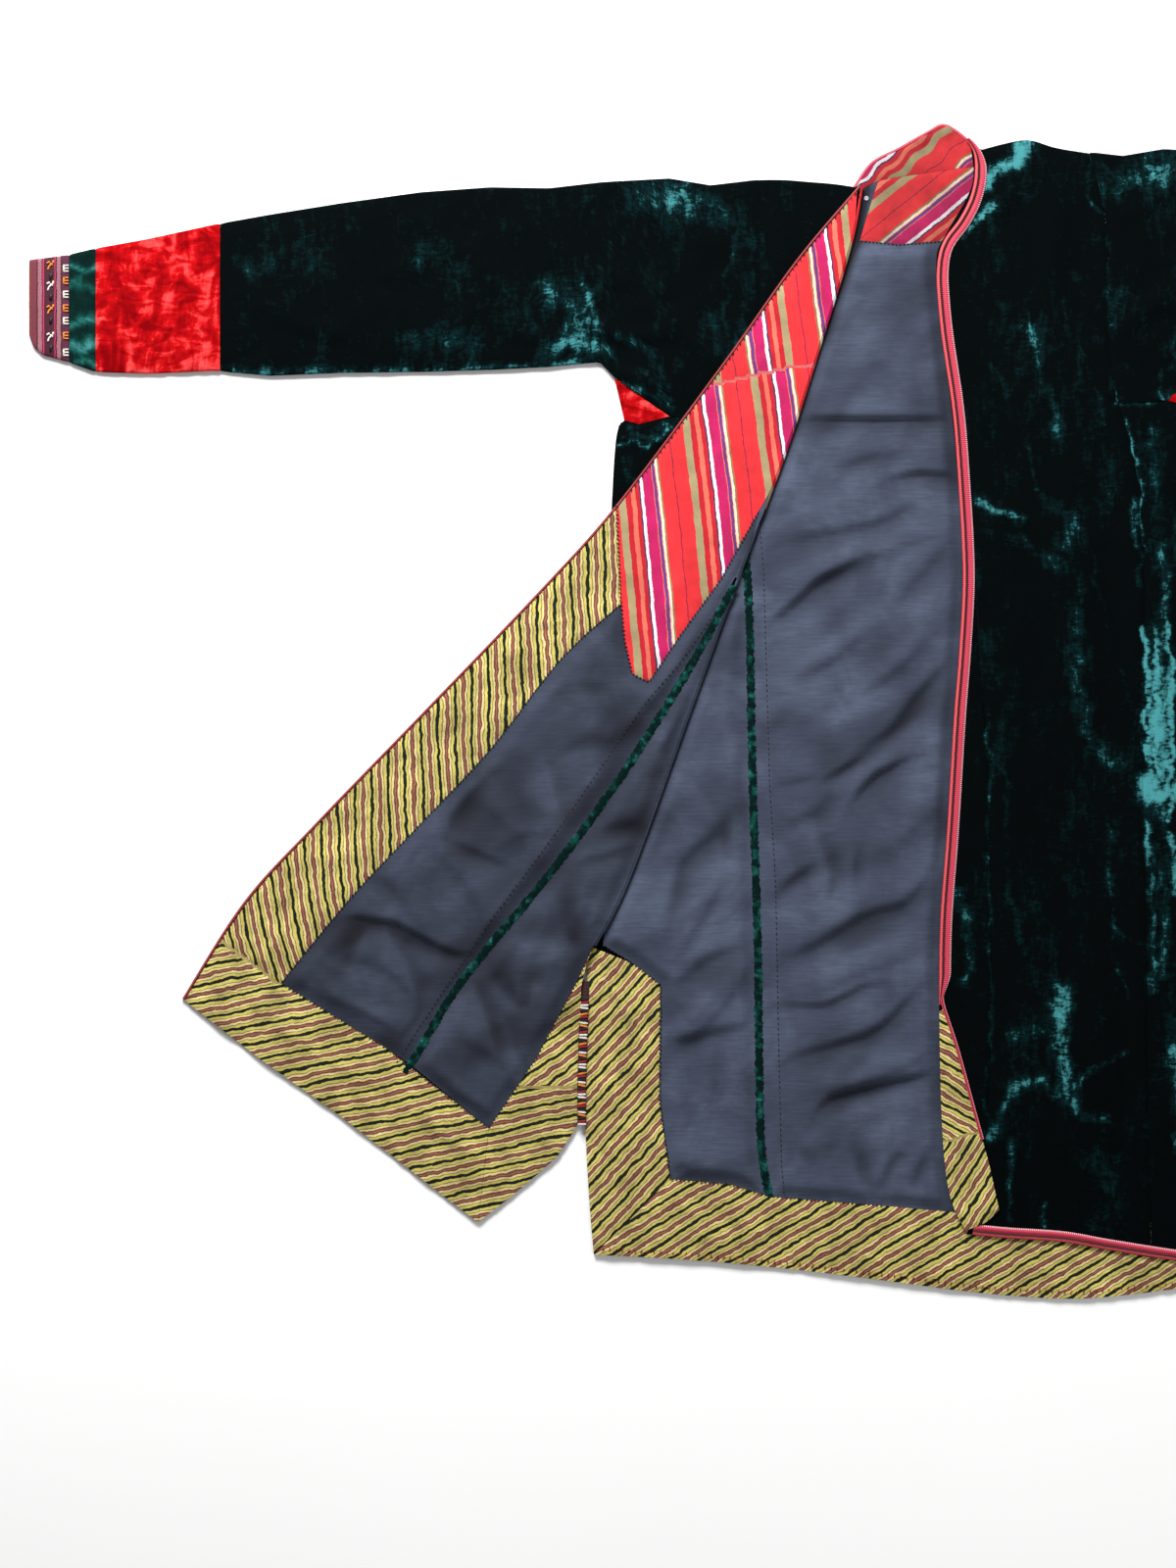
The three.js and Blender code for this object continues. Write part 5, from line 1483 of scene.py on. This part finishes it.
def build_turned_linings():
    on_panel, on_gore = ["front_r_panel"], ["front_r_gore"]
    radius = (TURNED_Z + VELVET + GAP - FRONT_Z) / 2 - 0.2
    red_foot, seam_top = RED_END[-1][1], turned_seam[0][1]
    # Node, cloth, cut, what it rests on, weave, the part of the fold it rolls over, step.
    jobs = [
        ("front_r_neck_facing", "red_stripe", (190, 530), on_panel, red_weave, (FOLD[0][1], red_foot), 3.4),
        ("front_r_edge_facing", "yellow_stripe", (95, 660), on_panel, edge_weave, None, 3.2),
        ("front_r_hem_facing", "yellow_stripe", (100, 400), on_panel, hem_weave, None, 3.2),
        ("front_r_slit_facing", "yellow_stripe", (90, 340), on_gore, slit_weave, None, 3.2),
        ("front_r_lining", "lining", (230, 800), on_panel, None, (red_foot, seam_top), STEP),
        ("front_r_gore_lining", "lining", (190, 560), on_gore, None, (seam_top, FOLD[-1][1]), STEP),
    ]
    fields = {
        "lining": field_turned_lining,
        "red_stripe": field_turned,
        "yellow_stripe": puckered(field_mitred, 84),
    }
    for node, kind, cut, under, weave, rolls, step in jobs:
        piece = Piece(node + "_cloth")
        loop = outline(node)
        if node == "front_r_neck_facing":
            loop = stretched(loop, (-69, 509), (-61, 533))
        # The linings get painted shade.
        painted_shade = painted_turned_shade if kind == "lining" else None
        lay(piece, loop, fields[kind], FACING_LOW, FACING_HIGH, step=step, drop=0.45, weave=weave,
            soft=[fold_line] if rolls else (), nap=painted_shade)
        if node == "front_r_lining":
            lay(piece, np.array(FOLD_PATCH, float), field_patch, FACING_LOW, FACING_HIGH, step=3.0, drop=0.2)
        if rolls:
            roll_strip(piece, part_of_fold(*rolls), radius, LINING, weave, -0.62)
        dress(piece, kind, node)
    strip = Piece("front_r_seam_velvet")
    seam = turned_seam[: -len(turned_seam) // 7]
    jagged_strip(strip, seam, ALLOWANCE_WIDTH + 2, field_turned, FACING_LOW, FACING_HIGH, 43)
    dress(strip, "trim", "front_r_seam_allowance")
    cord = Piece("front_r_edge_cord_cloth")
    cord_profile = [-1.6, -0.2, 0.3, -0.2, -1.6]
    ribbon(cord, turned_edge, EDGE_CORD_WIDTH, field_turned, -HALF, FACING_HIGH, cord_profile)
    cord.cloth *= CORD_WRAP
    dress(cord, "cord", "front_r_edge_cord")
    slit_line = part_of_side(*SLIT_BRAID_Y)
    slit = Piece("back_slit_braid_cloth")
    ribbon(slit, slit_line, SLIT_BRAID_WIDTH + 1, field_lining, LINING + GAP, 2 * LINING + GAP,
           [-0.6, 0.2, 0.4, 0.2, -0.6], inner=-8.0)
    dress(slit, "knot_ground", "back_slit_braid")


# ---- sleeves ----

SLEEVE_STEP = 4.6
CURL_ANGLE = 0.1
EDGE_ANGLES = 4
FRONT_PARTS = 34
FOLD_ANGLES = 8


def sleeve_row(x, left):
    """Upper fold, lower edge and loft at a station."""
    columns = np.array(SLEEVE)
    top, bottom, loft = (np.interp(x, columns[:, 0], columns[:, k]) for k in (1, 2, 3))
    if left:
        further = float(fade(-x, -ARMPIT_X, -ARMPIT_X + LEFT_LIFT_RUN))
        top += LEFT_LIFT[0]
        bottom += LEFT_LIFT[1] + (LEFT_LIFT[0] - LEFT_LIFT[1]) * further
    return top, bottom, loft


def sleeve_grid(start, end, left, step=SLEEVE_STEP):
    """A flattened tube: across runs from the lower edge, over the front, round the fold and back."""
    middle = (FRONT_Z + VELVET) / 2
    radius = FRONT_Z / 2
    stations = np.linspace(start, end, max(int((end - start) / step), 2) + 1)
    edge = np.linspace(0, 1, EDGE_ANGLES)
    front = np.linspace(0, 1, FRONT_PARTS + 1)[1:-1]
    back = np.linspace(1, 0, FRONT_PARTS // 2 + 1)[1:-1]
    fold = np.linspace(math.pi / 2, -math.pi / 2, FOLD_ANGLES)
    rows, normals, rounds = [], [], []
    for x in stations:
        top, bottom, loft = sleeve_row(x, left)
        low, high = bottom + radius, top - radius

        def block(y, z, across, up):
            return np.column_stack(np.broadcast_arrays(y, z, across, up))

        def arc(y, angles):
            across, up = np.cos(angles), np.sin(angles)
            return block(y + radius * across, middle + radius * up, across, up)

        def lower(parts, mark):
            """The lower edge curls round up to the armpit, and further in it is a flat side."""
            if x < ARMPIT_X:
                return arc(low, math.pi - mark * ((math.pi / 2 - CURL_ANGLE) * parts + CURL_ANGLE))
            return block(bottom + radius * parts, middle + mark * radius, 0.0, mark)

        crown = loft * np.sin(math.pi * front) ** 0.7
        profile = np.vstack([
            lower(edge, 1),
            block(low + (high - low) * front, middle + radius + crown, 0.0, 1.0),
            arc(high, fold),
            block(low + (high - low) * back, middle - radius, 0.0, -1.0),
            lower(edge[::-1], -1),
        ])
        y, z, across, up = profile.T
        rows.append(np.column_stack([np.full(len(y), -x if left else x), y, z]))
        normals.append(np.column_stack([np.zeros(len(y)), across, up]))
        rounds.append(np.concatenate([[0], np.cumsum(np.hypot(np.diff(y), np.diff(z)))]))
    return np.array(rows), np.array(normals), np.array(rounds), stations


ARMHOLE_REACH = 110.0  # over this length the sleeve's rows bend to the armhole's seam


def sleeve_part(name, start, end, left, kind, crumple, end_curve=None, step=SLEEVE_STEP):
    """A tube of one cloth between two stations. Its top side is crumpled."""
    mark = "_l" if left else "_r"
    grid, normals, rounds, stations = sleeve_grid(start, end, left, step)
    if end_curve is not None:
        sign = -1 if left else 1
        line = end_curve[np.argsort(end_curve[:, 1])]
        target = np.interp(grid[..., 1], line[:, 1], line[:, 0])
        pull = fade(grid[..., 0] * sign, end - ARMHOLE_REACH, end)
        grid[..., 0] += (target - end * sign) * pull
    flat = grid.reshape(-1, 3)
    mirrored = flat[:, :2] * (-1, 1) + (0, -LEFT_LIFT[0]) if left else flat[:, :2]
    top_side = normals.reshape(-1, 3)[:, 2] > 0.3
    rise = crumple(mirrored) * top_side
    if end_curve is not None:
        rise = rise * fade(np.abs(flat[:, 0] - grid[-1, :, 0].mean()), 0, 22)
    flat[top_side, 2] += np.clip(rise[top_side], -0.6, 6)
    grid = flat.reshape(grid.shape)
    edge = np.minimum(np.arange(len(stations)), np.arange(len(stations))[::-1])
    drop = np.where(edge == 0, 0.7, np.where(edge == 1, 0.15, 0.0))[:, None]
    points, faces = band(grid, normals, -HALF, HALF - drop)
    along = np.broadcast_to((stations - start)[:, None], rounds.shape)
    weave = np.dstack([along, rounds]).reshape(-1, 2)
    piece = Piece(name + "_cloth" + mark)
    piece.add(points, faces, np.tile(weave, (2, 1)), np.tile(painted_pile_sheen(mirrored), 2))
    piece.cloth = float(rounds[:, -1].mean() * (end - start))
    dress(piece, kind, name + mark)


def crumple_sleeve(points):
    soft = 0.7 * noise(points, 26, 51, 1.6, 0.5) + 0.35 * noise(points, 10, 52, 1.4, 0.4)
    return creased(points, SLEEVE_CREASES) + soft + 0.3


def crumple_band(points):
    return 1.1 * np.abs(noise(points, 11, 53, 1.2, 0.7)) + 0.6 * noise(points, 6, 54, 1.2, 0.3)


def crumple_trim(points):
    return 0.9 * noise(points, 9, 55, 0.5, 0.0) + 0.5 * noise(points, 4, 56, 2.0, 0.0)


def crumple_cuff(points):
    return 0.25 * noise(points, 16, 57)


def field_gusset(points):
    return FRONT_Z + HALF + 0.8 * np.abs(noise(points, 9, 61))


# An even, faint painted sheen.
def even_nap(points):
    return np.full(len(points), 0.2)


def build_sleeves():
    half = GAP / 2
    band_start, band_end = TRIM_JOIN + half, BAND_JOIN - half
    trim_start, trim_end = CUFF_JOIN + half, TRIM_JOIN - half
    for left, armhole, end in ((False, armhole_r, -160.0), (True, armhole_l, -177.0)):
        sleeve_part("sleeve", BAND_JOIN + half, end, left, "velvet",
                    crumple_sleeve, armhole)
        sleeve_part("sleeve_band", band_start, band_end, left, "red_velvet",
                    crumple_band, step=3.0)
        sleeve_part("sleeve_trim", trim_start, trim_end, left, "trim",
                    crumple_trim, step=2.2)
        sleeve_part("cuff", SLEEVE_END, CUFF_JOIN - half, left, "cuff",
                    crumple_cuff, step=2.2)
        folded = gusset_l if left else np.array(GUSSET, float)
        mark = "_l" if left else "_r"
        gusset = Piece("gusset_cloth" + mark)
        lay(gusset, folded, field_gusset, -HALF, HALF, step=2.6, drop=0.8, nap=even_nap)
        lay(gusset, folded, field_back, -HALF, HALF, step=5.0, drop=0.5)
        dress(gusset, "red_velvet", "gusset" + mark)


# ---- sewing ----

GRAIN_SIDES = 6


def grains(piece, centres, directions, lengths, radius, z):
    """Short fat threads: each a six-sided bar with pointed ends, along a direction in the plane."""
    count = len(centres)
    turn = np.arange(GRAIN_SIDES) / GRAIN_SIDES * 2 * math.pi
    ring = np.column_stack([np.zeros(GRAIN_SIDES), np.cos(turn), np.sin(turn)])
    ends = [ring * radius + (place, 0, 0) for place in (-0.32, 0.32)]
    base = np.vstack([[(-0.5, 0, 0)], *ends, [(0.5, 0, 0)]])
    along = np.asarray(directions, float)
    along = along / np.hypot(*along.T)[:, None]
    side = np.column_stack([-along[:, 1], along[:, 0]])
    reach = base[None, :, 0] * np.asarray(lengths, float)[:, None]
    flat = centres[:, None] + along[:, None] * reach[..., None] + side[:, None] * base[None, :, 1, None]
    height = np.broadcast_to(z, count)[:, None] + base[None, :, 2]
    points = np.dstack([flat, height]).reshape(-1, 3)
    faces = []
    for k in range(GRAIN_SIDES):
        a, b = 1 + k, 1 + (k + 1) % GRAIN_SIDES
        c, d = a + GRAIN_SIDES, b + GRAIN_SIDES
        faces += [(0, b, a), (a, b, d), (a, d, c), (1 + 2 * GRAIN_SIDES, c, d)]
    faces = np.array(faces)[None] + (np.arange(count) * len(base))[:, None, None]
    piece.add(points, faces.reshape(-1, 3))


def sewn_along(piece, line, step, length, radius, slant, field, lift, seed, jitter=0.25):
    """Stitches along a line, turned by slant degrees from its direction."""
    rng = np.random.default_rng(seed)
    line = resample(line, step)
    middles = (line[:-1] + line[1:]) / 2
    along = np.diff(line, axis=0)
    angle = np.arctan2(along[:, 1], along[:, 0]) + np.radians(slant) + rng.normal(0, jitter, len(along))
    directions = np.column_stack([np.cos(angle), np.sin(angle)])
    lengths = length * rng.uniform(0.75, 1.2, len(along))
    grains(piece, middles, directions, lengths, radius, field(middles) + lift)


SLIT_KNOTS_Y = (-277, -426)
SLIT_KNOT_SPACING = 3.0
SNAP_CENTRE = (-51, 523)
SNAP_RINGS = [(2.6, 0.0), (2.6, 0.7), (1.7, 1.5), (0.8, 1.2), (0.05, 1.3)]  # radius, height
THREADS = ("dark", "red", "white", "orange")


def build_sewing():
    """Hand stitches along the facings and linings, the slit's knots, the cuffs' motifs and a snap."""
    dark, red, white, orange = threads = [Piece(colour + "_stitches") for colour in THREADS]
    top = FACING_HIGH + 0.3
    turned = [smooth(EDGE_FACING_INNER), HEM_FACING_INNER, SLIT_FACING_INNER, RED_END]
    back = [[p for p in line if p[0] < 40] for line in (BACK_HEM_INNER, BACK_SLIT_INNER)]
    red_edge = beside(turned_edge[turned_edge[:, 1] > RED_END[0][1]], 3.2)
    low_edge = beside(turned_edge[turned_edge[:, 1] < RED_END[0][1]], 2.6)
    hem_line = [(x, y + 6) for x, y in HEM if x < 265]
    # Thread, line, step, length, radius, slant in degrees, heights, lift above them, seed, jitter.
    rows = [(dark, line, 4.2, 3.4, 0.5, 62, field_turned, top, 90 + k) for k, line in enumerate(turned)]
    low = LINING + 0.6
    rows += [(dark, line, 4.2, 3.4, 0.5, 62, field_lining, low, 95 + k) for k, line in enumerate(back)]
    rows += [
        (dark, NECK_FACING[2:], 4.0, 2.6, 0.45, 5, field_lining, LINING + 0.5, 97),
        (dark, red_edge, 6.2, 4.6, 0.5, 38, field_turned, top, 98),
        (red, low_edge, 5.2, 3.6, 0.45, 70, field_turned, top, 99),
        (dark, BACK_STITCHED, 5.4, 3.0, 0.42, 0, field_back_lining, LINING + 0.25, 101, 0.1),
        (dark, TURNED_STITCHED, 5.4, 3.0, 0.42, 0, field_turned_lining, top - 0.2, 102, 0.1),
        (red, hem_line, 6.5, 4.2, 0.5, 70, field_lining, LINING + 0.9, 103),
    ]
    for row in rows:
        sewn_along(*row)
    slit = part_of_side(*SLIT_KNOTS_Y) + (-3.4, 0)
    colours = [dark, red, white, white, dark, orange, red, dark, white, orange]
    for k, spot in enumerate(resample(slit, SLIT_KNOT_SPACING)):
        home = colours[k % len(colours)]
        z = field_lining(spot[None]) + 2 * LINING + GAP + 1.3
        grains(home, spot[None], np.array([(1.0, 0.25 - 0.12 * (k % 5))]), [9.5], 1.15, z)
    build_cuff_embroidery(white, orange, dark)
    for piece, colour in zip(threads, THREADS):
        dress(piece, colour + "_thread", None)
    snap = Piece("neck_snap")
    ring = np.linspace(0, 2 * math.pi, 17)[:-1]
    around = np.column_stack([np.cos(ring), np.sin(ring), np.zeros(len(ring))])
    centre = np.array(SNAP_CENTRE + (LINING_Z + LINING + 0.6,))
    dome = np.array([centre + around * radius + (0, 0, height) for radius, height in SNAP_RINGS])
    normals = np.zeros_like(dome)
    normals[..., 2] = 1
    points, faces = band(dome, normals, -0.3, 0.0, closed=True)
    snap.add(points, faces)
    dress(snap, "snap", None)


# A curled motif: offset along the sleeve and across it, turn in degrees.
CUFF_MOTIF = [(-2.6, -3.4, 68), (-1.2, -0.8, 40), (0.6, 0.8, -38), (2.2, 3.0, 74), (-2.8, 2.6, 30)]
CUFF_MOTIF_X = -882.5
CUFF_MOTIF_Y = [455, 434, 410, 382]
CUFF_COMB_X, CUFF_TEETH_X = -869.4, -866.6
CUFF_COMB_Y = [451.6, 439, 425, 411, 398, 383, 366]


def build_cuff_embroidery(white, orange, dark):
    """Small curled motifs along the middle of each cuff, and a row of combs at its inner edge."""
    for left in (False, True):

        def stitch(home, x, y, degrees, length, radius):
            spot = sleeve_spot(x, y, left)
            angle = math.radians(180 - degrees if left else degrees)
            way = np.array([(math.cos(angle), math.sin(angle))])
            grains(home, spot[:2][None], way, [length], radius, spot[2] + 0.5)

        for k, y in enumerate(CUFF_MOTIF_Y):
            for dx, dy, turn in CUFF_MOTIF:
                stitch((orange, white)[k % 2], CUFF_MOTIF_X + dx, y + dy, turn, 4.4, 0.95)
            stitch(dark, CUFF_MOTIF_X, y - 11.5, 80, 7.0, 1.6)
        for k, y in enumerate(CUFF_COMB_Y):
            home = (white, orange)[k % 2]
            stitch(home, CUFF_COMB_X, y, 90, 8.4, 0.9)
            for rise in (-3.0, 0.0, 3.0):
                stitch(home, CUFF_TEETH_X, y + rise, 0, 5.4, 0.75)


def sleeve_spot(x, y, left):
    """A spot on the upper side of a sleeve. Its y is that of the right sleeve."""
    top, bottom, loft = sleeve_row(x, left)
    y = y + (LEFT_LIFT[0] if left else 0)
    share = np.clip((y - bottom) / (top - bottom), 0.02, 0.98)
    z = FRONT_Z + VELVET + loft * math.sin(math.pi * share) ** 0.7
    return np.array([-x if left else x, bottom + (top - bottom) * share, z])


# ---- the whole ----

STUFF = make_materials()
make_camera()
make_studio()
build_back()
build_back_linings()
build_left_front()
build_right_front()
build_turned_linings()
build_sleeves()
build_sewing()

FLOOR = 6.0  # metres from the middle to each side
floor_mesh = bpy.data.meshes.new("floor")
corners = [(-FLOOR, -FLOOR, 0), (FLOOR, -FLOOR, 0), (FLOOR, FLOOR, 0), (-FLOOR, FLOOR, 0)]
floor_mesh.from_pydata(corners, [], [(0, 1, 2, 3)])
floor = bpy.data.objects.new("floor", floor_mesh)
floor.location.z = -0.0005
bpy.context.scene.collection.objects.link(floor)
paper = Shader("paper")
white_paper = paper.ramp(paper.noise(400.0), [(0, (243, 243, 243)), (1, (246, 246, 246))])
floor_mesh.materials.append(paper.finish(white_paper, 0.95, paper.bump(paper.noise(3.0), 0.05, 0.2)))
